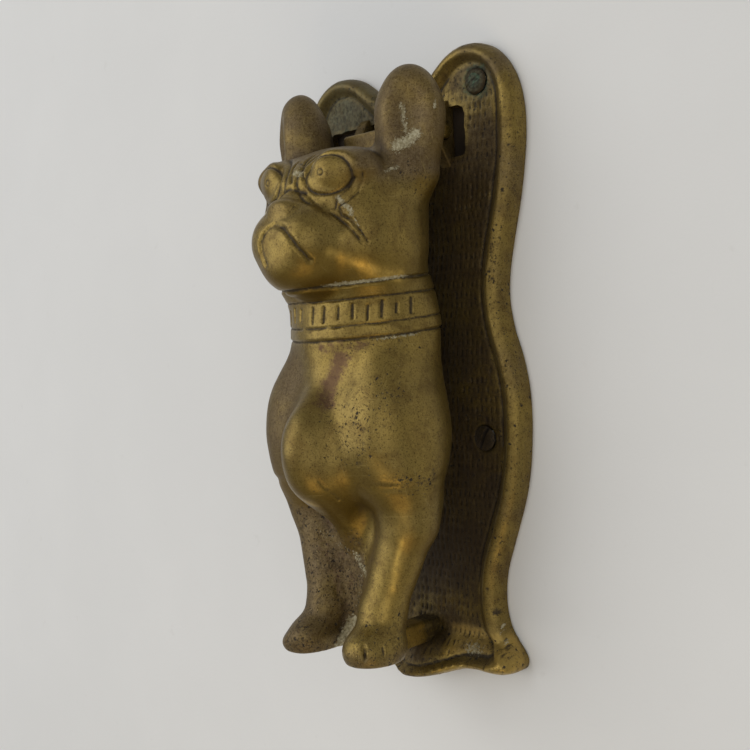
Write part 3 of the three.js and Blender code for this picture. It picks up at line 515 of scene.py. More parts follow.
# ------------------------------------------------------------------ the dog's wear
# painted lines for each mask: on both sides, width, strength, reach, points
MARKS = {
    "residue": [
        (1, 1.9, 1.05, 4, [(20.6, -28.4, 132.4), (22.4, -27.1, 133.2), (24.0, -25.6, 135.0)]),
        (1, 1.0, 0.80, 4, [(22.4, -26.8, 134.4), (21.8, -26.5, 137.6), (21.2, -26.8, 142.0)]),
        (1, 1.6, 0.42, 4, [(23.4, -25.8, 136.4), (23.2, -26.0, 139.6)]),
        (0, 0.5, 0.9, 4, [(28.3, -22.7, 140.8), (28.3, -22.4, 142.4)]),
        (1, 0.9, 0.85, 4, [(13.1, -42.0, 120.0), (14.6, -41.5, 118.2), (15.4, -41.1, 117.7),
                           (16.2, -41.0, 116.0)]),
        (1, 0.5, 0.6, 4, [(16.6, -40.9, 115.2), (17.6, -40.5, 113.6), (18.6, -39.9, 110.5)]),
        (0, 1.5, 0.85, 4, [(0.6, -44.2, 127.8), (2.6, -44.2, 127.0)]),
        (0, 0.6, 0.85, 4, [(19.4, -31.7, 126.1), (19.7, -30.1, 126.8), (20.7, -28.8, 127.1)]),
        (0, 0.5, 0.7, 4, [(18.3, -29.6, 128.6), (18.6, -29.0, 129.2)]),
        (0, 1.5, 0.72, 4, [(0.9, -31.0, 31.4), (2.4, -30.9, 28.9), (5.0, -32.0, 27.2)]),
        (0, 1.7, 0.42, 4, [(-9.8, -33.7, 37.8), (-6.9, -32.4, 35.2), (-2.5, -31.4, 32.9),
                           (-0.6, -31.0, 30.9)]),
        (0, 1.8, 0.40, 4, [(2.4, -30.9, 27.0), (1.4, -31.2, 20.0), (-0.4, -31.3, 15.0)]),
        (0, 2.0, 1.15, 4, [(-0.9, -31.2, 14.0), (-2.9, -32.4, 10.7), (-4.6, -34.0, 7.8)]),
    ],
    "stain": [
        (0, 3.0, 1, 9, [(7.3, -38.2, 82.0), (5.7, -38.9, 79.5), (4.8, -40.1, 75.4),
                        (4.9, -42.8, 70.8)]),
        (0, 1.9, 0.75, 9, [(2.3, -39.8, 84.6), (8.5, -38.0, 84.6), (13.9, -34.7, 84.8)]),
    ],
    "tarnish_shade": [
        (1, 3.2, 0.8, 9, [(21.4, -27.4, 133.5), (21.6, -26.8, 145.0)]),
        (1, 3.2, 0.5, 9, [(13.5, -42.4, 119.0), (16.4, -40.9, 114.6)]),
    ],
    "rough": [
        (0, 3.2, 1, 9, [(22.3, -27.6, 125.1), (24.4, -22.5, 123.3)]),
        (0, 2.6, 1, 9, [(22.6, -36.4, 52.5), (23.8, -34.3, 50.4), (26.2, -29.0, 52.0)]),
        (0, 6.5, 0.75, 12, [(9.5, -46.0, 72.0), (14.0, -44.0, 60.0), (20.0, -38.0, 72.0)]),
        (0, 3.0, 0.8, 9, [(8.0, -36.0, 84.6), (18.0, -31.0, 85.5)]),
    ],
    # painted glints: bright gold streaks drawn along the jaw, down the left fore leg and on the chest
    "painted_glint": [
        (0, 1.2, 0.55, 9, [(12.6, -45.1, 107.2), (16.2, -40.5, 104.2), (19.5, -34.0, 102.0),
                           (20.4, -30.0, 101.4)]),
        (0, 0.8, 0.80, 9, [(17.5, -38.4, 102.4), (19.0, -35.0, 100.9), (20.6, -30.0, 100.3)]),
        (0, 0.75, 1.0, 9, [(19.7, -34.0, 37.0), (18.0, -34.6, 30.5), (16.6, -34.8, 24.6)]),
        (0, 1.6, 0.30, 9, [(20.5, -33.0, 44.0), (19.7, -34.0, 37.0), (16.6, -34.8, 24.6),
                           (14.8, -36.0, 18.0)]),
        (0, 1.8, 0.26, 9, [(18.3, -40.5, 57.5), (19.6, -38.9, 54.4)]),
        (0, 1.1, 0.35, 9, [(-4.6, -47.0, 52.0), (2.0, -44.5, 45.0)]),
    ],
}


def dog_masks(verts, normals, cut, web):
    """shader masks, 0 to 1, for the finished surface"""
    x, y, z = verts.T
    folded = fold(verts)
    # how enclosed each point is, from the field along its normal; it drives dark patina in hollows and
    # painted shade
    shade_and_patina = np.zeros(len(verts))
    for reach, weight in ((1.5, 0.30), (3.5, 0.35), (8.0, 0.35)):
        clear = dog_field(*(verts + normals * reach).T)
        shade_and_patina += weight * np.clip((reach - clear) / reach, 0, 1)
    # outward bend of the surface, from the field around each point
    bend = np.zeros(len(verts))
    for axis, shift in product(range(3), (-1.4, 1.4)):
        moved = verts.copy()
        moved[:, axis] += shift
        bend += dog_field(*moved.T)
    bend = bend / 6 - dog_field(x, y, z)
    lines = {key: np.maximum.reduce([
        strength * bell(line_dist(folded if mirrored else verts, line, reach), width)
        for mirrored, width, strength, reach, line in rows]) for key, rows in MARKS.items()}
    top, _, _, bottom, angle = collar_lines(verts)
    neck = (np.abs(z - 93) < 12).astype(float)
    above = neck * 0.95 * bell(z - top - 0.75, 0.55) * ease(12, 30, angle) * ease(95, 70, angle)
    below = neck * 0.7 * bell(z - bottom + 0.7, 0.5) * ease(45, 62, angle) * ease(100, 85, angle)
    stain = np.maximum(lines["stain"], 0.34 * web)
    from_nose = (verts - np.array([0.0, -50.0, 118.6])) / np.array([7.0, 4.0, 4.6])
    tarnish_and_shade = np.maximum.reduce([
        lines["tarnish_shade"],
        0.85 * ease(119, 127, z) * ease(-44.5, -38, y) * ease(150, 128, z),     # crown
        0.8 * web,
        0.75 * ease(48, 38, z) * ease(3, -6, x),                                # right leg
        0.6 * ease(15, 9, z),                                                   # paws
        0.75 * ease(129, 133, z),
        0.80 * ease(0, -9, x) * ease(90, 84, z),                                # right side: painted shade
        # painted shade that dulls the nose's highlight
        0.60 * np.exp(-(from_nose ** 2).sum(1)),
        # painted shade on faces that turn to -X
        0.78 * ease(-0.05, -0.75, normals[:, 0]),
    ])
    rough = np.maximum.reduce([
        lines["rough"], 0.7 * ease(26, 10, z), 0.9 * web,
        0.75 * ease(50, 42, z) * ease(0, -6, x)])
    # painted shade: the tang between head and plate is drawn dark
    tang = ease(-14.0, -11.5, y) * ease(124, 128, z)
    return {
        "cut": np.maximum(cut * np.where(np.abs(z - 93) < 5, 0.90, 0.96), 0.72 * tang),
        # painted reflection of warm light on faces that point down
        "under": ease(-0.02, -0.62, normals[:, 2]) * ease(16, 30, z),
        "painted_glint": lines["painted_glint"],
        "shade_and_patina": np.maximum(ease(0.12, 0.75, shade_and_patina), 0.95 * tang),
        "edge": ease(0.10, 0.42, bend),
        "residue": np.maximum.reduce([lines["residue"], above, below]),
        "stain": stain * (stain > 0.01),
        "tarnish_shade": tarnish_and_shade,
        "rough": rough,
    }


def settle(start, rounds):
    """moves points onto the dog's surface; also returns their normals"""
    verts = start
    for _ in range(rounds):
        dist = dog_field(*verts.T)
        slope = gradient(dog_field, verts)
        square = np.maximum((slope * slope).sum(1), 0.2)
        verts = start + np.clip(verts - slope * (dist / square)[:, None] - start, -0.28, 0.28)
    normals = gradient(dog_field, verts)
    return verts, normals / (np.linalg.norm(normals, axis=1)[:, None] + 1e-9)


def build_dog():
    gx = grid_lines((-31.5, 31.5, 0.56))
    gy = grid_lines((-57.2, -36.5, 0.5), (-36.5, 0.6, 0.62))
    gz = grid_lines((5.2, 82.0, 0.82), (82.0, 133.0, 0.5), (133.0, 155.2, 0.62))
    field = np.empty((len(gx), len(gy), len(gz)), np.float32)
    x, y, z = (grid.astype(np.float32) for grid in (gx, gy, gz))
    slab_layers = 24    # the grid is filled in slabs to save memory
    for start in range(0, len(gz), slab_layers):
        part = slice(start, start + slab_layers)
        field[:, :, part] = dog_field(x[:, None, None], y[None, :, None], z[None, None, part])
    verts, quads = surface_nets(field, gx, gy, gz)
    verts, normals = settle(verts, 2)
    # finer faces where the engraving is steep
    around = dog_detail(verts)[0][quads]
    mark = (around.max(1) - around.min(1) > 0.075) & (verts[quads][:, :, 1].mean(1) < -12)
    count = len(verts)
    verts, faces = refine(verts, quads, mark)
    verts[count:], new_normals = settle(verts[count:].copy(), 1)
    normals = np.concatenate([normals, new_normals])
    offset, cut, web = dog_detail(verts)
    verts = verts + normals * offset[:, None]
    return make_object("dog_casting", verts, faces, dog_masks(verts, normals, cut, web))


# ------------------------------------------------------------------ the plate
# right half of the outline (x, z), from the top middle down to the bottom middle
HALF = [
    (0, 149.4), (3.5, 149.9), (7.0, 151.7), (10.2, 154.0), (12.9, 156.2), (16.0, 158.3),
    (19.5, 159.7), (23.4, 160.1), (27.2, 159.3), (30.8, 157.3), (34.2, 153.7), (36.8, 148.8),
    (38.2, 142.6), (38.3, 135.5), (37.3, 127.5), (35.5, 118.5), (33.0, 109.0), (31.2, 101.0),
    (30.7, 94.0), (31.9, 86.4), (34.0, 79.5), (35.4, 72.0), (35.7, 64.5), (35.2, 56.5),
    (34.2, 49.4), (32.6, 43.0), (30.4, 36.8), (27.9, 30.2), (25.7, 24.0), (24.8, 18.4),
    (24.9, 13.4), (26.0, 9.0), (28.0, 5.8), (29.8, 3.4), (30.8, 1.2), (30.2, -0.8),
    (27.8, -1.9), (23.5, -2.2), (18.8, -2.2), (14.6, -2.6), (10.5, -3.8), (6.5, -5.1),
    (3.2, -5.8), (0, -6.0),
]
# small casting voids on the front: x, z, radius, depth
VOIDS = [
    (36.0, 132.0, 0.7, 0.35), (33.6, 118.5, 0.5, 0.3), (31.6, 96.0, 0.6, 0.4),
    (29.0, 99.5, 1.0, 0.5), (28.3, 101.5, 0.7, 0.45), (32.0, 76.0, 0.8, 0.4),
    (32.8, 67.0, 0.6, 0.3), (24.6, 35.5, 0.8, 0.35), (26.2, 29.0, 0.6, 0.3),
    (30.1, 46.0, 0.7, 0.3), (-16.0, 154.6, 0.8, 0.4), (22.2, 19.6, 0.9, 0.35),
    (27.6, 3.4, 0.8, 0.3),
]


def closed_spline(knots, count):
    """centripetal Catmull-Rom curve round the knots"""
    knots = np.array(knots, float)
    total = len(knots)
    out = []
    for i in range(count):
        t = i / count * total
        k = int(t)
        w = t - k
        p0, p1, p2, p3 = (knots[(k + shift) % total] for shift in (-1, 0, 1, 2))
        d0, d1, d2 = (max(np.sum((a - b) ** 2) ** 0.25, 1e-4)
                      for a, b in ((p0, p1), (p1, p2), (p2, p3)))
        t1 = ((p1 - p0) / d0 - (p2 - p0) / (d0 + d1) + (p2 - p1) / d1) * d1
        t2 = ((p2 - p1) / d1 - (p3 - p1) / (d1 + d2) + (p3 - p2) / d2) * d1
        out.append(p1 + t1 * w + (-3 * p1 + 3 * p2 - 2 * t1 - t2) * w * w
                   + (2 * p1 - 2 * p2 + t1 + t2) * w**3)
    return np.array(out)


OUTLINE = closed_spline(HALF + [(-x, z) for x, z in HALF[1:-1][::-1]], 640)


def outline_dist(x, z):
    """distance in from the outline, negative outside it"""
    best = np.full(x.shape, 1e18)
    inside = np.zeros(x.shape, bool)
    for (ax, az), (cx, cz) in zip(np.roll(OUTLINE, 1, axis=0), OUTLINE):
        ex, ez = cx - ax, cz - az
        t = np.clip(((x - ax) * ex + (z - az) * ez) / (ex * ex + ez * ez), 0, 1)
        best = np.minimum(best, (x - ax - ex * t) ** 2 + (z - az - ez * t) ** 2)
        if az != cz:
            inside ^= ((az > z) != (cz > z)) & (x < (cx - ax) * (z - az) / (cz - az) + ax)
    return np.where(inside, 1, -1) * np.sqrt(best)


def window_dist(x, z):
    """distance out from the ragged window near the top"""
    u = np.abs(x - (WIN_LEFT + WIN_RIGHT) / 2) - ((WIN_RIGHT - WIN_LEFT) / 2 - WIN_CORNER)
    v = np.abs(z - (WIN_LOW + WIN_HIGH) / 2) - ((WIN_HIGH - WIN_LOW) / 2 - WIN_CORNER)
    ragged = 0.12 * np.sin(1.3 * z + 0.7 * x) + 0.07 * np.sin(3.1 * z - 1.7 * x + 1)
    outside = np.hypot(np.maximum(u, 0), np.maximum(v, 0))
    return outside + np.minimum(np.maximum(u, v), 0) - WIN_CORNER + ragged


def screw_dists(x, z):
    return [np.hypot(x - sx, z - sz) for sx, sz, _ in SCREWS.values()]


def shelf(x, z):
    """extra thickness along the plate's foot"""
    side = np.abs(x)
    out = 4.4 + 5.4 * bell(side, 8) + 1.2 * ease(19, 26, side)
    t = np.clip((SHELF_TOP - z) / (SHELF_TOP - PLATE_BOTTOM), 0, 1)
    return out * (1 - (1 - t) ** 2.2) * ease(0, 0.22, t)


def rim_width(x, z):
    foot = RIM_FOOT_LESS * ease(9, 0.5, z) * ease(29, 21, np.abs(x))
    return RIM_WIDTH - foot - 2.2 * ease(138, 154, z)


def front_height(x, z, inset):
    """thickness of the plate: rounded rim, then flat panel"""
    width = rim_width(x, z)
    rise = RIM_UP * (0.62 + 0.38 * (width - (RIM_WIDTH - RIM_FOOT_LESS)) / RIM_FOOT_LESS)
    extra = shelf(x, z)
    base, edge = PANEL_THICK + extra, EDGE_THICK + extra * 0.5
    u = np.clip(1 - inset / (width * 0.5), 0, 1)
    outer = edge + (base + rise - edge) * np.sqrt(np.clip(1 - u * u, 0, 1))
    q = np.clip((inset - width * 0.5) / (width * 0.5), 0, 1)
    inner = base + rise * (1 - q * q * (3 - 2 * q))
    return np.where(inset <= 0, edge, np.where(inset < width * 0.5, outer, inner))


def back_hollow(x, z, inset, height):
    land = ease(LAND_WIDTH, LAND_WIDTH + 2.6, inset)
    for dist in screw_dists(x, z):
        land = land * ease(6.0, 8.6, dist)
    land = land * ease(4.6, 7.2, window_dist(x, z)) * ease(10.5, 14.5, z)
    return np.clip(np.minimum(height - PLATE_WALL, 3.4), 0, None) * land


def clip_sheet(xs, zs, field, snap):
    """2-D mesh of the region field > 0 on a grid: points (n, 2), quads and triangles"""
    nx, nz = len(xs), len(zs)
    points = np.stack(np.meshgrid(xs, zs, indexing="ij"), -1).reshape(-1, 2)
    value = field(*points.T)
    # grid points near the border are moved onto it
    near = np.nonzero(np.abs(value) < snap)[0]
    reach = 0.02
    for _ in range(2):
        x, z = points[near].T
        here = field(x, z)
        slope = np.stack([(field(x + reach, z) - field(x - reach, z)) / (2 * reach),
                          (field(x, z + reach) - field(x, z - reach)) / (2 * reach)], 1)
        square = np.maximum((slope * slope).sum(1), 0.3)
        points[near] = points[near] - slope * (here / square)[:, None]
    value[near] = 0
    i, j = np.meshgrid(np.arange(nx - 1), np.arange(nz - 1), indexing="ij")
    a = (i * nz + j).ravel()
    b, c, d = a + nz, a + nz + 1, a + 1
    flip = points[a, 0] < 0
    quad = np.stack([a, b, c, d], 1)
    whole = (value[quad] > 0).all(1)
    rest = np.nonzero(~whole & (value[quad] > 0).any(1))[0]
    tris = []
    for k in rest:
        if flip[k]:
            tris += [(a[k], b[k], d[k]), (b[k], c[k], d[k])]
        else:
            tris += [(a[k], b[k], c[k]), (a[k], c[k], d[k])]
    tris = np.array(tris)
    at_tris = value[tris]
    keep = (at_tris >= 0).all(1) & (at_tris > 0).any(1)
    mixed = tris[(at_tris > 0).any(1) & (at_tris < 0).any(1)]
    # crossing point on each edge that the border cuts
    edges = {}
    for tri in mixed:
        for k in range(3):
            p, q = int(tri[k]), int(tri[(k + 1) % 3])
            if value[p] * value[q] < 0:
                edges.setdefault((min(p, q), max(p, q)), len(edges))
    keys = np.array(list(edges))
    start, end = points[keys[:, 0]], points[keys[:, 1]]
    at_start, at_end = value[keys[:, 0]], value[keys[:, 1]]
    t = at_start / (at_start - at_end)
    for _ in range(3):
        crossing = start + (end - start) * t[:, None]
        t = np.clip(t - field(*crossing.T) / (at_end - at_start), 0.02, 0.98)
    base = len(points)
    points = np.concatenate([points, start + (end - start) * t[:, None]])
    extra = []
    for tri in mixed:
        poly = []
        for k in range(3):
            p, q = int(tri[k]), int(tri[(k + 1) % 3])
            if value[p] >= 0:
                poly.append(p)
            if value[p] * value[q] < 0:
                poly.append(base + edges[(min(p, q), max(p, q))])
        for k in range(1, len(poly) - 1):
            extra.append((poly[0], poly[k], poly[k + 1]))
    tris = np.concatenate([tris[keep], np.array(extra)])
    quads = quad[whole]
    used = np.unique(np.concatenate([tris.ravel(), quads.ravel()]))
    renumber = np.full(len(points), -1)
    renumber[used] = np.arange(len(used))
    return points[used], renumber[quads], renumber[tris]


def slab(points, quads, tris, front, back):
    """closed solid between the sheets y = front and y = back"""
    count = len(points)
    x, z = points.T
    verts = np.concatenate([np.stack([x, front, z], 1), np.stack([x, back, z], 1)])
    edges = np.concatenate([np.stack([group[:, k], group[:, (k + 1) % group.shape[1]]], 1)
                            for group in (quads, tris) for k in range(group.shape[1])])
    forward = edges[:, 0] * count + edges[:, 1]
    reverse = edges[:, 1] * count + edges[:, 0]
    start, end = edges[~np.isin(forward, reverse)].T
    side = np.stack([end, start, start + count, end + count], 1)
    return verts, [quads, quads[:, ::-1] + count, side, tris, tris[:, ::-1] + count]


def punch_marks(x, z):
    """rows of short upright punch marks, 0 to 1"""
    row_height, column_width = 2.5, 1.6
    row = np.floor(z / row_height)
    u = (x + lattice(row, row * 0 + 3, row * 0, 7) * 0.8) / column_width
    column = np.floor(u)
    a, b, c = (lattice(column, row, row * 0 + k, k + 1) for k in range(3))
    up = z - (row + 0.5) * row_height
    across = (u - column - 0.5) * column_width - 0.14 * a - 0.10 * up * c
    half = 0.82 + 0.16 * c
    mark = bell(across, 0.36) * ease(half + 0.25, half - 0.2, np.abs(up - 0.2 * b))
    return mark * (0.75 + 0.25 * a) * (b > -0.93)


def lug_radii(angles):
    """distance from the pin's axis to the lug's rounded outline at each angle"""
    high = LUG_HIGH - 1.4
    profile = np.array([
        (LUG_BACK, LUG_LOW), (LUG_BACK, high), (-3.4, high), (LUG_FRONT + 1.2, PIN_Z + 3.2),
        (LUG_FRONT, PIN_Z + 1.6), (LUG_FRONT, PIN_Z - 1.6), (LUG_FRONT + 1.2, PIN_Z - 3.2),
        (-2.0, LUG_LOW)])
    out = []
    for angle in angles:
        dy, dz = math.cos(angle), math.sin(angle)
        best = 1e9
        for (ay, az), (by, bz) in zip(profile, np.roll(profile, -1, axis=0)):
            ey, ez = by - ay, bz - az
            cross = dy * ez - dz * ey
            if abs(cross) < 1e-9:
                continue
            along_ray = ((ay - PIN_Y) * ez - (az - PIN_Z) * ey) / cross
            along_side = ((ay - PIN_Y) * dz - (az - PIN_Z) * dy) / cross
            if along_ray > 0 and -1e-6 <= along_side <= 1 + 1e-6:
                best = min(best, along_ray)
        out.append(best)
    radii = np.array(out)
    for _ in range(2):
        radii = (np.roll(radii, 1) + 2 * radii + np.roll(radii, -1)) / 4
    return radii


def lugs(base):
    """the two lugs that carry the pin, their points numbered from base"""
    count = 96
    angles = np.arange(count) * 2 * math.pi / count
    outer = lug_radii(angles)
    k, after = np.arange(count), (np.arange(count) + 1) % count
    verts, faces = [], []
    for a, b in ((-LUG_OUT, -LUG_IN), (LUG_IN, LUG_OUT)):
        stations = (
            (a + 0.35, BORE_R), (b - 0.35, BORE_R), (b, BORE_R + 0.3), (b, outer - 0.5),
            (b - 0.15, outer - 0.15), (b - 0.5, outer), (a + 0.5, outer),
            (a + 0.15, outer - 0.15), (a, outer - 0.5), (a, BORE_R + 0.3))
        for i in range(len(stations)):
            here, there = base + i * count, base + (i + 1) % len(stations) * count
            faces.append(np.stack([here + after, there + after, there + k, here + k], 1))
        for x, radius in stations:
            verts.append(np.stack([x + 0 * angles, PIN_Y + radius * np.cos(angles),
                                   PIN_Z + radius * np.sin(angles)], 1))
        base += count * len(stations)
    return np.concatenate(verts), faces


def plate_region(x, z):
    """positive where there is metal: inside the outline, clear of window and holes"""
    out = np.minimum(outline_dist(x, z), window_dist(x, z))
    for dist in screw_dists(x, z):
        out = np.minimum(out, dist - (SHANK_R + 0.35))
    return np.minimum(out, np.hypot(x, z - BLOCK_Z) - PEG_HOLE_R)


def build_plate():
    xs, zs = grid_lines((-39.2, 39.2, 0.4)), grid_lines((-6.6, 160.8, 0.6))
    points, quads, tris = clip_sheet(xs, zs, plate_region, 0.14)
    x, z = points.T
    flat = np.stack([x, z, 0 * x], 1)
    inset = outline_dist(x, z)
    inset = np.where(inset < 0.02, 0, inset)
    height = front_height(x, z, inset)
    back = -back_hollow(x, z, inset, height)
    width = rim_width(x, z)
    window = window_dist(x, z)
    # engraved line at the foot of the rim, punch marks in the panel
    line = bell(inset - width - 0.15 - 0.12 * noise(flat, 3.0, 21), 0.42)
    line *= 1 - 0.75 * ease(0.25, 0.9, noise(flat, 9.0, 25))
    panel = ease(width + 0.5, width + 1.3, inset) * ease(0.5, 1.3, window)
    for dist in screw_dists(x, z):
        panel = panel * ease(3.9, 4.6, dist)
    punched = punch_marks(x, z) * panel
    rim = ease(0.3, 1.6, inset) * ease(width - 0.6, width - 2.0, inset)
    front = height - 0.42 * line - 0.40 * punched
    front += rim * (0.10 * noise(flat, 6.0, 22) + 0.05 * noise(flat, 2.2, 23))
    front += panel * (0.07 * noise(flat, 3.4, 24) + 0.05 * noise(flat, 1.2, 26))
    voids = np.zeros(len(x))
    for vx, vz, radius, depth in VOIDS:
        void = np.exp(-(((x - vx) ** 2 + (z - vz) ** 2) / (radius * radius * 0.42)))
        void = void * (1 + 0.5 * noise(flat, 0.5, 35))
        front -= 0.8 * depth * void
        voids = np.maximum(voids, void)
    # corroded nick on the inner side of the top lobe at -X
    nick = np.exp(-(((x + 8.0) / 2.4) ** 2 + ((z - 151.0) / 1.6) ** 2))
    nick = nick * (1 + 0.8 * noise(flat, 0.9, 27))
    front -= 0.9 * np.clip(nick, 0, 1)
    # countersinks for the screw heads
    for dist in screw_dists(x, z):
        cone = PANEL_THICK - 0.9 + 1.0 + (dist - SEAT_R) * 2.0 / (HEAD_R - SHANK_R)
        cone = np.clip(cone, 0.9, PANEL_THICK + 0.09)
        front = np.where(dist < SEAT_R, np.minimum(front, cone), front)
    front = np.maximum(front, -back + 0.8)
    back = back - (back < -0.05) * 0.12 * (1 + noise(flat, 2.0, 28)) * np.clip(-back, 0, 1)
    verts, faces = slab(points, quads, tris, -front, back)

    # masks for the front
    skin = ease(width - 0.1, width + 0.5, inset)
    deep = ease(width + 1.6, width - 0.2, inset) * ease(width - 2.4, width - 0.6, inset)
    # painted light: the shelf at the plate's foot is drawn brighter
    lit = ease(9.5, 6.5, z) * ease(6, 10, x) * (1 - deep)
    upper_x, upper_z, _ = SCREWS[CRUSTED]
    upper = np.hypot(x - upper_x, z - upper_z)
    # painted shade: dark patches round the lower screws
    lower_x, lower_z, _ = SCREWS["fixing_screw_lower_right"]
    lower = bell(np.hypot(np.abs(x) - lower_x, z - lower_z), 4.6)
    corner = ease(3, 6, z) * ease(18, 21, x)
    chip = ease(0.2, 0.5, inset) * ease(2.2, 1.2, inset) * ease(17, 12, z) * corner
    chip = chip * ease(0.05, 0.5, noise(flat, 1.1, 41))
    flake = ease(0.0, 0.3, inset) * ease(1.6, 0.8, inset) * ease(13, 10, z) * ease(4, 6, z)
    flake = flake * ease(18, 21, x) * ease(0.35, 0.8, noise(flat, 0.9, 42))
    pale = 0.72 * np.exp(-(((x - 16.5) / 4.6) ** 2 + ((z - 3.0) / 2.2) ** 2))
    pale += 0.4 * bell(inset - 0.9, 0.7) * ease(4, 0, z) * ease(6, 12, x) * ease(27, 20, x)
    green = np.maximum.reduce([
        bell(upper, 4.6), 0.30 * ease(6.5, 9.5, inset) * ease(-10, -16, x) * ease(143, 146, z),
        0.40 * ease(2.0, 0.4, window) * ease(-12, -16, x)])
    grey = np.maximum(ease(2, -6, x) * ease(118, 132, z) * (0.62 + 0.33 * panel),
                      0.8 * bell(upper, 5.6))
    tarnish_and_shade = 0.35 + 0.4 * noise(flat, 8.0, 33) + 0.25 * panel
    # painted shadow of the dog over the panel: strongest low down between z 22 and 30, less at the top
    # right, little on the painted-light shelf
    shade_and_patina = 0.66 + 0.22 * ease(70, 30, z) * ease(12, 22, z)
    shade_and_patina = (shade_and_patina - 0.16 * ease(120, 140, z) * ease(8, 16, x)) * skin * (1 - 0.9 * lit)
    worn = rim * ease(width * 0.85, width * 0.5, inset) * ease(0.8, 2.2, inset)
    rough = 0.35 + 0.4 * rim * ease(0.1, 0.7, noise(flat, 11, 31)) + 0.3 * ease(9, 2, z)
    hollow = ease(0.05, 1.0, -back)
    masks = {  # front, back, lugs
        "cut": (np.maximum.reduce([line, 0.95 * punched, voids, nick, 0.8 * lower, chip]),
                0, 0.08),
        # painted light on the shelf raises the glint and edge masks
        "painted_glint": (0.42 * lit, 0, 0.0),
        "shade_and_patina": (np.maximum(0.45 * deep, shade_and_patina), 0.45 + 0.35 * hollow, 0.45),
        "edge": (worn * 0.22 + 0.55 * lit, 0, 0.15),
        "residue": (np.maximum.reduce([pale, 0.22 * line, flake]), 0.15 * hollow, 0.05),
        "tarnish_shade": (np.clip(tarnish_and_shade, 0, 1), 0.4, 0.6),
        "grey": (grey, 0, 0.0),
        "verd": (green, 0, 0.1),
        "rough": (rough, 0.8, 0.6),
    }
    lug_verts, lug_faces = lugs(len(verts))
    masks = {key: np.concatenate([on_front, on_back + 0 * x, np.full(len(lug_verts), on_lugs)])
             for key, (on_front, on_back, on_lugs) in masks.items()}
    verts = np.concatenate([verts, lug_verts])
    return make_object("plate_casting", verts, faces + lug_faces, masks, sharp=52)


# ------------------------------------------------------------------ small parts
def build_pin():
    half, radius = PIN_HALF, PIN_R
    # rounded end: share of the radius, distance in from the tip
    nose = [(0.35, 0.02), (0.62, 0.12), (0.84, 0.32), (0.97, 0.62), (1, 0.95)]
    profile = [(0, -half)] + [(radius * share, -half + deep) for share, deep in nose]
    profile += [(radius - 0.02 - 0.05 * math.sin(i * 1.9) ** 2,
                 -half + 0.95 + i * (2 * half - 1.9) / 30) for i in range(1, 30)]
    profile += [(radius * share, half - deep) for share, deep in nose[::-1]] + [(0, half)]
    verts, faces = lathe(profile, 48)
    centre = np.array([0, PIN_Y, PIN_Z])
    verts = verts + centre
    end = ease(half - 1.2, half - 0.2, np.abs(verts[:, 0]))
    radial = verts - centre
    radial[:, 0] = 0
    verts = verts - radial * (end * (0.04 + 0.05 * (1 + noise(verts, 1.1, 41))))[:, None]
    masks = {"cut": 0, "edge": end, "shade_and_patina": 0.5 * (1 - end), "rough": 0.4}
    return make_object("hinge_pin_turned", verts, faces, masks)


def build_block():
    """block with a rounded front face, seated in the foot of the plate, and its peg"""
    front, count = BLOCK_FRONT, 72
    t = np.arange(count) * 2 * math.pi / count
    power = np.where(np.sin(t) > 0, 0.30, 0.24)
    across = np.sign(np.cos(t)) * np.abs(np.cos(t)) ** power * BLOCK_HALF_WIDE
    up = np.sign(np.sin(t)) * np.abs(np.sin(t)) ** power * BLOCK_HALF_HIGH
    z = BLOCK_Z + up
    seat = -(front_height(across, z, outline_dist(across, z)) - 0.35)
    rings = []
    # face rings: share of the full outline, depth behind the front
    for share, deep in ((0.30, 0.10), (0.62, 0.07), (0.82, 0.08), (0.92, 0.2), (0.98, 0.5),
                        (1.0, 0.95)):
        rings.append(np.stack([across * share, np.full(count, front + deep),
                               BLOCK_Z + up * share], 1))
    for part in np.linspace(0.06, 1, 16):
        rings.append(np.stack([across, (front + 0.95) + (seat - front - 0.95) * part, z], 1))
    sides = np.concatenate(rings)
    sides[:, [0, 2]] += np.stack([0.05 * noise(sides, 1.8, 51), 0.05 * noise(sides, 1.8, 52)], 1)
    verts = np.concatenate([sides, [[0, front + 0.12, BLOCK_Z], [0, seat.max(), BLOCK_Z]]])
    y = verts[:, 1]
    face = ease(front + 1.2, front + 0.3, y)
    base = ease(-10.5, -8.0, y)
    peg, peg_faces = lathe([(0, -14), (1.7, -13.9), (1.9, -13.6), (1.9, -0.45), (1.75, -0.22),
                            (0, -0.2)], 32)
    peg = peg[:, [1, 0, 2]] * np.array([1, 1, -1]) + np.array([0, 0, BLOCK_Z])
    # painted light: the block is drawn brighter away from the plate
    masks = {"cut": 0.7 * base, "edge": face * 0.8, "shade_and_patina": 0.05 + 0.3 * base,
             "rough": 0.5 + 0 * base, "residue": 0.2 * base, "painted_glint": 0.35 * (1 - base)}
    masks = {key: np.concatenate([mask, np.full(len(peg), 0.2)]) for key, mask in masks.items()}
    faces = tube_faces(len(rings), count, flip=True) + [group + len(verts) for group in peg_faces]
    return make_object("strike_block_worn", np.concatenate([verts, peg]), faces, masks, sharp=60)


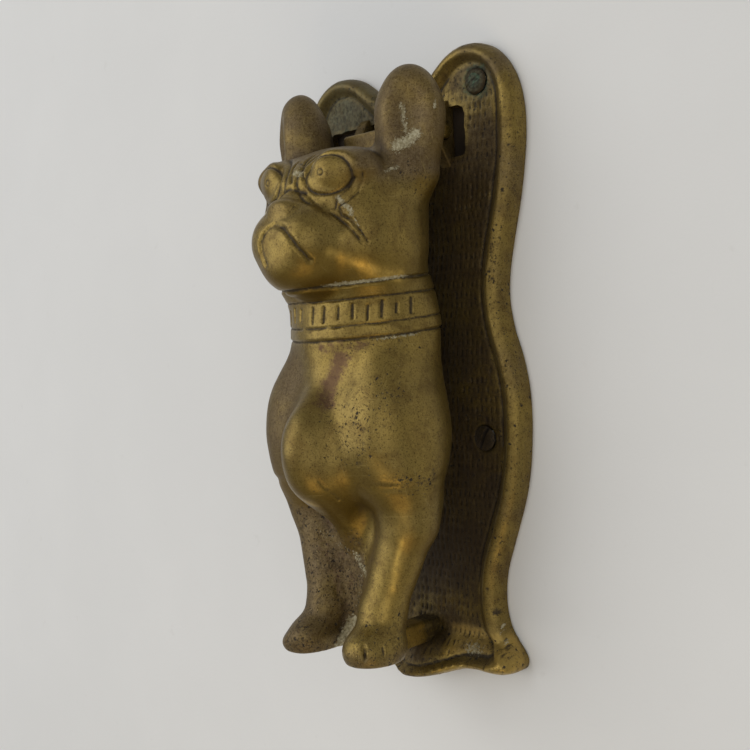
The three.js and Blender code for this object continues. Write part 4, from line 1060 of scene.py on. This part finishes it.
def screw_head(x, z, turn, seed, crusted, face):
    """domed slotted head: points, faces and cut mask"""
    radius = HEAD_R - 0.15
    grid = grid_lines((-3.5, 3.5, 0.17))
    points, quads, tris = clip_sheet(grid, grid, lambda a, b: radius - np.hypot(a, b), 0.05)
    out = np.hypot(points[:, 0], points[:, 1])
    angle = turn if x > 0 else -turn
    across = -points[:, 0] * math.sin(angle) + points[:, 1] * math.cos(angle)
    along = points[:, 0] * math.cos(angle) + points[:, 1] * math.sin(angle)
    dome = 0.55 * (1 - (out / radius) ** 2)
    slot = ease(0.56, 0.38, np.abs(across + 0.05 * np.sin(along * 2 + seed)))
    slot = slot * (0.45 if crusted else 1)
    flat = np.stack([points[:, 0] + x, points[:, 1] + z, 0 * out], 1)
    front = face - 0.05 - dome + 0.22 * ease(radius - 0.35, radius, out)
    front = front + slot * (0.25 + dome * 0.9)
    front += 0.05 * noise(flat, 0.7, 60 + seed) * (1 - slot)
    if crusted:
        crust = 0.16 * noise(flat, 1.3, 63) + 0.12 * noise(flat, 0.6, 64) + 0.12
        front -= crust * ease(radius, radius - 0.8, out)
    back = np.full(len(points), face + 0.32)
    verts, faces = slab(points + np.array([x, z]), quads, tris, front, back)
    patches = ease(0.0, 0.7, noise(flat, 1.1, 70 + seed))
    cut = np.concatenate([np.maximum(slot, 0.5 * patches), 0 * slot])
    return verts, faces, cut, np.concatenate([out, out])


def screw_shank(x, z, face):
    count, tip = 40, face + SCREW_LEN
    t = np.arange(count) * 2 * math.pi / count
    taper = face + SCREW_LEN - 5.0
    stations = np.concatenate([
        [face + 0.3, face + 0.34], np.linspace(face + 0.4, face + 2.05, 6),
        np.arange(face + 2.25, taper, 0.25), np.linspace(taper, tip - 0.1, 22)])
    rings = []
    for y in stations:
        core = np.interp(y, [face + 0.3, face + 2.05, taper, tip],
                         [HEAD_R - 0.15 - 0.08, SHANK_R, SHANK_R - 0.05, 0.3])
        thread = ease(face + 8.0, face + 10.0, y) * ease(tip + 0.3, tip - 1.5, y)
        phase = (y / 1.25 + t / (2 * math.pi)) % 1.0
        crest = np.clip(1 - np.abs(phase - 0.5) / 0.28, 0, 1)
        radius = core - thread * 0.38 * (1 - crest) * min(1.0, core / SHANK_R)
        rings.append(np.stack([x + radius * np.cos(t), y + 0 * t, z + radius * np.sin(t)], 1))
    verts = np.concatenate(rings + [np.array([[x, face + 0.3, z], [x, tip, z]])])
    return verts, tube_faces(len(stations), count, flip=True)


def build_screw(name, x, z, turn, seed):
    crusted = name == CRUSTED
    face = -PANEL_THICK - 0.35
    head, faces, cut, out = screw_head(x, z, turn, seed, crusted, face)
    shank, shank_faces = screw_shank(x, z, face)
    green = 1.0 if crusted else 0.12
    masks = {
        "cut": np.concatenate([cut, np.full(len(shank), 0.3)]),
        "shade_and_patina": 0.6,
        "edge": 0,
        "rough": 0.8,
        "verd": np.concatenate([green * (ease(2.3, 0.9, out) if crusted else 1 + 0 * out),
                                green * ease(face + 4, face + 1, shank[:, 1])]),
        "grey": np.concatenate([0.9 * ease(3.2, 2.3, out) if crusted else 0 * out,
                                np.zeros(len(shank))]),
        "tarnish_shade": 0.8,
    }
    faces = faces + [group + len(head) for group in shank_faces]
    return make_object(name + "_slotted", np.concatenate([head, shank]), faces, masks, sharp=40)


# ------------------------------------------------------------------ materials
class Signal:
    """a shader output; arithmetic on it adds Math nodes"""

    def __init__(self, graph, socket):
        self.graph, self.socket = graph, socket

    def math(self, operation, *values):
        values = dict(enumerate(values))
        return self.graph.add("ShaderNodeMath", 0, values, operation=operation)

    def __add__(self, value):
        return self.math("ADD", self, value)

    def __sub__(self, value):
        return self.math("SUBTRACT", self, value)

    def __rsub__(self, value):
        return self.math("SUBTRACT", value, self)

    def __mul__(self, value):
        return self.math("MULTIPLY", self, value)

    def __truediv__(self, value):
        return self.math("DIVIDE", self, value)

    def __abs__(self):
        return self.math("ABSOLUTE", self)

    def max(self, value):
        return self.math("MAXIMUM", self, value)

    def clamped(self):
        self.socket.node.use_clamp = True
        return self

    def ramp(self, start, end, low=0.0, high=1.0):
        """smooth step from low at start to high at end"""
        inputs = {"Value": self, "From Min": start, "From Max": end, "To Min": low,
                  "To Max": high}
        return self.graph.add("ShaderNodeMapRange", "Result", inputs,
                              interpolation_type="SMOOTHSTEP")

    def ragged(self, texture, amount):
        """this mask with its level shaken by a texture"""
        return self + (texture - 0.5) * amount

    def other(self, output):
        return Signal(self.graph, self.socket.node.outputs[output])


class Graph:
    """node tree of a new material"""

    def __init__(self, name):
        self.material = bpy.data.materials.new(name)
        self.material.use_nodes = True
        self.tree = self.material.node_tree
        self.tree.nodes.clear()
        self.output = self.tree.nodes.new("ShaderNodeOutputMaterial")
        self.coord = self.add("ShaderNodeTexCoord", "Object")

    def put(self, socket, value):
        if isinstance(value, Signal):
            self.tree.links.new(value.socket, socket)
        else:
            socket.default_value = value

    def add(self, kind, output, inputs=(), **settings):
        node = self.tree.nodes.new(kind)
        for key, value in settings.items():
            setattr(node, key, value)
        for key, value in dict(inputs).items():
            self.put(node.inputs[key], value)
        return Signal(self, node.outputs[output])

    def noise(self, scale, detail, rough, vector=None, distort=0.0):
        return self.add("ShaderNodeTexNoise", "Fac", {
            "Vector": vector or self.coord, "Scale": scale, "Detail": detail,
            "Roughness": rough, "Distortion": distort})

    def mix(self, factor, first, second):
        return self.add("ShaderNodeMix", "Result", {"Factor": factor, "A": first, "B": second},
                        data_type="RGBA")

    def attribute(self, name):
        return self.add("ShaderNodeAttribute", "Fac", attribute_name=name)

    def bump(self, strength, distance, height):
        return self.add("ShaderNodeBump", "Normal", {
            "Strength": strength, "Distance": distance, "Height": height})

    def finish(self, shader):
        self.put(self.output.inputs["Surface"], shader)
        return self.material


def srgb(*channels):
    """linear colour from 0-255 display values"""
    def linear(value):
        value = value / 255
        return value / 12.92 if value <= 0.04045 else ((value + 0.055) / 1.055) ** 2.4
    return tuple(linear(value) for value in channels) + (1.0,)


# metal colours, scaled by each material's tone
METAL = {
    "olive": (120, 102, 53), "gold": (131, 111, 55), "brown": (103, 84, 40),
    # the first two colours on the next row serve both tarnished metal and painted shade
    "tarnish_and_shade": (88, 73, 52), "tarnish_dark": (66, 50, 31), "mottle": (80, 62, 26),
    "speck": (64, 48, 18), "fleck": (166, 146, 88), "edge": (148, 125, 66),
    # next row: a painted warm reflection, a painted glint, and dark skin that also serves as painted
    # shade
    "under": (102, 80, 20), "painted_glint": (204, 170, 86), "skin": (44, 31, 11), "cut": (30, 20, 7),
    "pit": (20, 13, 5), "scratch": (152, 134, 82), "stain": (78, 54, 40),
}


def brass(name, tone, patina_shade_depth, pitting, rough, green=0.0):
    """aged brass; tone lightens, the third argument sets how dark hollows and shaded places get (oxide
    and painted shade), green spreads the verdigris
    """
    graph = Graph(name)
    mix, texture = graph.mix, graph.noise
    cut, shade_and_patina, edge, residue, stain, verdigris, roughness, tarnish_and_shade, under, painted_glint, grey = (
        graph.attribute(key) for key in ("cut", "shade_and_patina", "edge", "residue", "stain", "verd",
                                         "rough", "tarnish_shade", "under", "painted_glint", "grey"))
    metal = {key: tuple(min(1.0, c * tone) for c in srgb(*value)[:3]) + (1.0,)
             for key, value in METAL.items()}
    big = texture(scale=38, detail=4, rough=0.6)
    mid = texture(scale=210, detail=6, rough=0.65, distort=0.4)
    fine = texture(scale=1300, detail=4, rough=0.6)
    grain = texture(scale=5200, detail=2, rough=0.5)

    def coat(base, mask, over, strength):
        return mix(mask * strength, base, over)

    def patches(mask, level, start, end, fade):
        """blotches of a mask, faded out where the mask itself is weak"""
        return level.ramp(start=start, end=end) * mask.ramp(*fade)

    # clean metal, then a brown tarnished coat that also carries painted shade, and fine mottling
    col = mix(big.ramp(start=0.36, end=0.64), metal["olive"], metal["gold"])
    col = mix(mid.ramp(start=0.42, end=0.72), col, metal["brown"])
    tarnish_and_shade = tarnish_and_shade.ragged(texture(scale=120, detail=5, rough=0.65), amount=0.9)
    tarnish_and_shade = tarnish_and_shade.ramp(start=0.22, end=0.95)
    brown = mix(fine.ramp(start=0.40, end=0.66), metal["tarnish_and_shade"], metal["tarnish_dark"])
    col = coat(col, tarnish_and_shade, brown, strength=0.80)
    col = coat(col, fine.ramp(start=0.50, end=0.72), metal["mottle"], strength=0.50)
    specks = texture(scale=2600, detail=3, rough=0.6).ramp(start=0.51, end=0.68)
    col = coat(col, specks, metal["speck"], strength=0.66)
    # pale flecks are painted pinpoint glints
    flecks = texture(scale=1900, detail=4, rough=0.7, distort=0.5).ramp(start=0.60, end=0.70)
    col = coat(col, flecks, metal["fleck"], strength=0.42)
    # bright worn edges, then painted glints (drawn highlights)
    worn = edge * mid.ramp(start=0.30, end=0.60, low=0.85, high=0.35)
    col = mix(worn, col, metal["edge"])
    # painted reflection of warm light on faces that point down
    col = coat(col, under, metal["under"], strength=0.70)
    smear = texture(scale=420, detail=5, rough=0.7)
    painted_glint = painted_glint * smear.ramp(start=0.36, end=0.60, low=0.55, high=1.15)
    col = coat(col, painted_glint, metal["painted_glint"], strength=0.85)
    # dark skin: oxide in hollows plus painted shade where that mask is high, and in spots
    dark = (shade_and_patina * (0.95 * patina_shade_depth)).ragged(mid, amount=0.9).ramp(start=0.30, end=0.95)
    spots = texture(scale=520, detail=5, rough=0.7).ramp(start=0.54, end=0.67)
    spots = spots * roughness.ramp(start=0.05, end=0.9, low=0.24, high=0.95)
    dark = dark.max(spots * 0.75)
    col = coat(col, dark, metal["skin"], strength=0.84)
    level = cut.ragged(texture(scale=900, detail=4, rough=0.65), amount=0.9)
    cuts = patches(cut, level, start=0.22, end=0.85, fade=(0.04, 0.2))
    col = coat(col, cuts, metal["cut"], strength=0.88)

    # casting pits of two sizes, on shaken coordinates so that they are not round
    colour_noise = graph.add("ShaderNodeTexNoise", "Color", {
        "Vector": graph.coord, "Scale": 1700.0, "Detail": 2.0})
    shaken = graph.add("ShaderNodeVectorMath", 0, {
        0: colour_noise, 1: (0.0011, 0.0011, 0.0011), 2: graph.coord}, operation="MULTIPLY_ADD")

    def pits(scale, channel, cover, start, widest, soft):
        cells = graph.add("ShaderNodeTexVoronoi", "Distance", {
            "Vector": shaken, "Scale": scale, "Randomness": 1.0})
        pick = graph.add("ShaderNodeSeparateColor", channel, {"Color": cells.other("Color")})
        radius = (pick + cover).ramp(start=start, end=1.25, high=widest)
        return (1.0 - cells / radius.max(0.001)).clamped().ramp(start=0.0, end=soft)

    cover = (roughness + big.ramp(start=0.45, end=0.7, high=0.25)) * (0.42 * pitting)
    pit = pits(640.0, "Red", cover, start=0.86, widest=0.33, soft=0.45)
    small = pits(1500.0, "Green", roughness * (0.5 * pitting), start=0.80, widest=0.44, soft=0.5)
    pit = pit.max(small * 0.8)
    col = coat(col, pit, metal["pit"], strength=0.90)

    def scratches(scale, turn, start):
        vector = graph.add("ShaderNodeMapping", "Vector", {
            "Vector": graph.coord, "Scale": scale, "Rotation": turn})
        return texture(scale=1.0, detail=3, rough=0.7, vector=vector).ramp(start=start, end=0.72)

    scratch = scratches(scale=(2600, 70, 160), turn=(0.3, 0.5, 0.4), start=0.60)
    scratch = scratch + scratches(scale=(90, 140, 2400), turn=(0.7, -0.4, 0.2), start=0.62)
    scratch = scratch.clamped() * shade_and_patina.ramp(start=0.2, end=0.7, low=1.0, high=0.25)
    col = coat(col, scratch, metal["scratch"], strength=0.26)
    # reddish stain
    level = stain.ragged(texture(scale=330, detail=6, rough=0.7), amount=2.2)
    stained = patches(stain, level, start=0.30, end=0.95, fade=(0.02, 0.2))
    col = coat(col, stained, metal["stain"], strength=0.82)
    # verdigris
    level = verdigris + green if green else verdigris.ragged(mid, amount=1.2)
    crust = patches(verdigris, level, start=0.32, end=0.72, fade=(0.03, 0.2))
    shade = texture(scale=700, detail=4, rough=0.6).ramp(start=0.40, end=0.66)
    crust_col = mix(shade, srgb(40, 52, 44), srgb(48, 112, 92))
    crust_col = mix(fine.ramp(start=0.35, end=0.55), srgb(28, 34, 28), crust_col)
    col = coat(col, crust, crust_col, strength=0.9)
    # grey film
    grey = grey * mid.ramp(start=0.25, end=0.6, low=0.95, high=0.55)
    film = mix(fine.ramp(start=0.38, end=0.62), srgb(52, 52, 38), srgb(88, 88, 66))
    col = mix(grey, col, film)
    # pale polish left in hollows
    level = residue.ragged(texture(scale=1500, detail=5, rough=0.75), amount=2.3)
    polish = patches(residue, level, start=0.44, end=0.82, fade=(0.05, 0.25))
    polish_col = mix(fine.ramp(start=0.35, end=0.65), srgb(140, 132, 102), srgb(190, 184, 156))
    col = coat(col, polish, polish_col, strength=0.80)

    # the weights say how far each coat dulls the metal
    dull = (grey * 0.7).max((dark * 0.55).max(tarnish_and_shade * 0.45)).max(cuts * 0.6)
    dull = dull.max(crust.max(polish).max(pit * 0.8))
    metallic = dull.ramp(start=0.0, end=1.0, low=0.74, high=0.08)
    gloss = dull.ramp(start=0.0, end=1.0, low=rough, high=0.82).ragged(mid, amount=0.30)
    gloss = (gloss.clamped() - edge * 0.08).clamped()
    gloss = (gloss - painted_glint * 0.10).clamped()
    # the weights are relative relief heights
    height = mid * 0.30 + fine * 0.10 + grain * 0.035
    height = height - pit * 0.55 - scratch * 0.05 - spots * 0.12
    height = height + polish * (fine * 0.45) + crust * (fine * 0.6)
    return graph.finish(graph.add("ShaderNodeBsdfPrincipled", "BSDF", {
        "Base Color": col, "Metallic": metallic, "Roughness": gloss,
        "Normal": graph.bump(strength=0.68, distance=0.00038, height=height)}))


# ------------------------------------------------------------------ assembly
def finish_piece(piece, material, body, node):
    piece.data.materials.clear()
    piece.data.materials.append(material)
    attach(piece, body)
    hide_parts(node)


finish_piece(build_dog(), brass("brass_dog", tone=1.10, patina_shade_depth=1.0, pitting=1.2, rough=0.38),
             "striker", "dog_striker")
finish_piece(build_plate(), brass("brass_plate", tone=1.03, patina_shade_depth=1.1, pitting=1.2, rough=0.45),
             "plate", "backplate")
finish_piece(build_pin(), brass("brass_pin", tone=1.0, patina_shade_depth=0.9, pitting=0.8, rough=0.36),
             "plate", "hinge_pin")
finish_piece(build_block(), brass("brass_block", tone=1.15, patina_shade_depth=1.0, pitting=0.8, rough=0.40),
             "plate", "strike_block")
green_screw = brass("screw_verdigris", tone=0.7, patina_shade_depth=1.2, pitting=1.0, rough=0.55, green=0.35)
dark_screw = brass("screw_dark", tone=0.62, patina_shade_depth=1.3, pitting=1.0, rough=0.5)
for seed, (name, place) in enumerate(SCREWS.items()):
    finish = (dark_screw, "dark_screw")
    if name == CRUSTED:
        finish = (green_screw, "verdigris_screw")
    finish_piece(build_screw(name, *place, seed), finish[0], "plate", name)


# ------------------------------------------------------------------ floor (m)
def floor_material():
    graph = Graph("floor_paper")
    mix, texture = graph.mix, graph.noise
    clouds = texture(scale=9, detail=4, rough=0.6).ramp(start=0.35, end=0.7)
    col = mix(clouds, srgb(218, 219, 220), srgb(221, 222, 223))
    specks = texture(scale=160, detail=3, rough=0.6).ramp(start=0.66, end=0.76)
    col = mix(specks * 0.08, col, srgb(170, 166, 162))
    # painted shade: a dark patch on the floor behind the window
    across = graph.add("ShaderNodeSeparateXYZ", "X", {"Vector": graph.coord})
    wide = abs(across + -(WIN_LEFT + WIN_RIGHT) / 2 * MM).ramp(start=0.0285, end=0.0262)
    high = abs(across.other("Z") - (WIN_LOW + WIN_HIGH) / 2 * MM).ramp(start=0.0105, end=0.0085)
    col = mix(wide * high * 0.97, col, srgb(46, 35, 22))
    bump = graph.bump(strength=0.15, distance=0.0002,
                      height=texture(scale=900, detail=3, rough=0.5))
    paper = graph.add("ShaderNodeBsdfDiffuse", 0, {"Color": col, "Normal": bump})
    clear = graph.add("ShaderNodeBsdfTransparent", 0, {"Color": (1, 1, 1, 1)})
    behind = graph.add("ShaderNodeNewGeometry", "Backfacing")
    return graph.finish(graph.add("ShaderNodeMixShader", 0, {0: behind, 1: paper, 2: clear}))


def floor_plane():
    """the pale surface the knocker lies against; it shows only from the front"""
    half, y = 1.6, 0.0004
    under_edge, window_margin = 0.6, 0.7    # mm
    ring = OUTLINE[::4]
    along = np.roll(ring, -1, axis=0) - np.roll(ring, 1, axis=0)
    along /= np.linalg.norm(along, axis=1)[:, None]
    inward = np.stack([along[:, 1], -along[:, 0]], 1) * under_edge
    hole = [Vector((x * MM, y, z * MM)) for x, z in ring + inward]
    wall = [Vector(v) for v in ((-half, y, -half), (half, y, -half), (half, y, half),
                                (-half, y, half))]
    verts = wall + hole
    tris = []
    for a, b, c in tessellate_polygon([wall, hole]):
        to_front = (verts[b] - verts[a]).cross(verts[c] - verts[a]).y < 0
        tris.append((a, b, c) if to_front else (a, c, b))
    # a floor patch closes the hole behind the plate's window and carries the painted shade there
    k = len(verts)
    left, right = (WIN_LEFT - window_margin) * MM, (WIN_RIGHT + window_margin) * MM
    low, high = (WIN_LOW - window_margin) * MM, (WIN_HIGH + window_margin) * MM
    verts += [Vector(v) for v in ((left, y, low), (right, y, low), (right, y, high),
                                  (left, y, high))]
    tris += [(k, k + 1, k + 2), (k, k + 2, k + 3)]
    mesh = bpy.data.meshes.new("floor_pale")
    mesh.from_pydata([tuple(v) for v in verts], [], tris)
    mesh.update()
    floor = link(bpy.data.objects.new("floor_pale", mesh))
    mesh.materials.append(floor_material())


floor_plane()


# ------------------------------------------------------------------ lights and world (m)
TARGET = Vector((0, -0.028, 0.077))


def area(name, place, size, watts, colour):
    light = bpy.data.lights.new(name, "AREA")
    light.shape = "RECTANGLE"
    light.size, light.size_y = size
    light.energy, light.color = watts, colour
    lamp = bpy.data.objects.new(name, light)
    lamp.location = place
    lamp.rotation_euler = (TARGET - Vector(place)).to_track_quat("-Z", "Y").to_euler()
    link(lamp)


# name, place, size, watts, colour
for row in (
    ("key_high", (-0.56, -0.98, 0.40), (1.3, 1.3), 8.6, (1.0, 0.99, 0.97)),
    ("front_soft", (0.70, -0.90, 0.16), (0.9, 0.9), 2.1, (1.0, 0.97, 0.92)),
    ("low_warm", (0.26, -0.42, -0.50), (0.45, 0.25), 0.7, (1.0, 0.74, 0.38)),
    ("back_left", (-0.45, 0.75, 0.45), (0.5, 0.5), 5.0, (1.0, 0.98, 0.95)),
    ("back_right", (0.60, 0.65, 0.0), (0.5, 0.5), 3.0, (1.0, 0.97, 0.93)),
):
    area(*row)

world = bpy.data.worlds.new("soft_room")
bpy.context.scene.world = world
world.use_nodes = True
tree = world.node_tree
tree.nodes.clear()
background = tree.nodes.new("ShaderNodeBackground")
background.inputs["Color"].default_value = (0.80, 0.80, 0.78, 1)
background.inputs["Strength"].default_value = 0.40
world_output = tree.nodes.new("ShaderNodeOutputWorld")
tree.links.new(background.outputs[0], world_output.inputs[0])

# ------------------------------------------------------------------ camera
AZIMUTH, ELEVATION, ROLL = (math.radians(v) for v in (43.27, 1.78, -3.22))
EYE = Vector((196.244, -221.150, 87.693)) * MM
LENS, SENSOR = 51.56016, 36.0                       # mm
AIM_LEFT, AIM_DOWN = 0.0158261728, 0.0093095134     # tangents of the turn off that direction

away = Vector((math.sin(AZIMUTH) * math.cos(ELEVATION),
               -math.cos(AZIMUTH) * math.cos(ELEVATION), math.sin(ELEVATION)))
level_right = Vector((math.cos(AZIMUTH), math.sin(AZIMUTH), 0))
level_up = away.cross(level_right)
rolled_right = level_right * math.cos(ROLL) + level_up * math.sin(ROLL)
rolled_up = level_up * math.cos(ROLL) - level_right * math.sin(ROLL)
aim = (-away - rolled_right * AIM_LEFT - rolled_up * AIM_DOWN).normalized()
right = aim.cross(rolled_up).normalized()
up = right.cross(aim).normalized()
lens = bpy.data.cameras.new("camera")
lens.sensor_width = SENSOR
lens.lens = LENS
lens.clip_start, lens.clip_end = 0.01, 20
camera = bpy.data.objects.new("camera", lens)
pose = Matrix((right, up, -aim, EYE)).transposed().to_4x4() if False else Matrix((
    (right.x, up.x, -aim.x, EYE.x), (right.y, up.y, -aim.y, EYE.y),
    (right.z, up.z, -aim.z, EYE.z), (0, 0, 0, 1)))
camera.matrix_world = pose
link(camera)
bpy.context.scene.camera = camera
bpy.context.scene.view_settings.view_transform = "Standard"
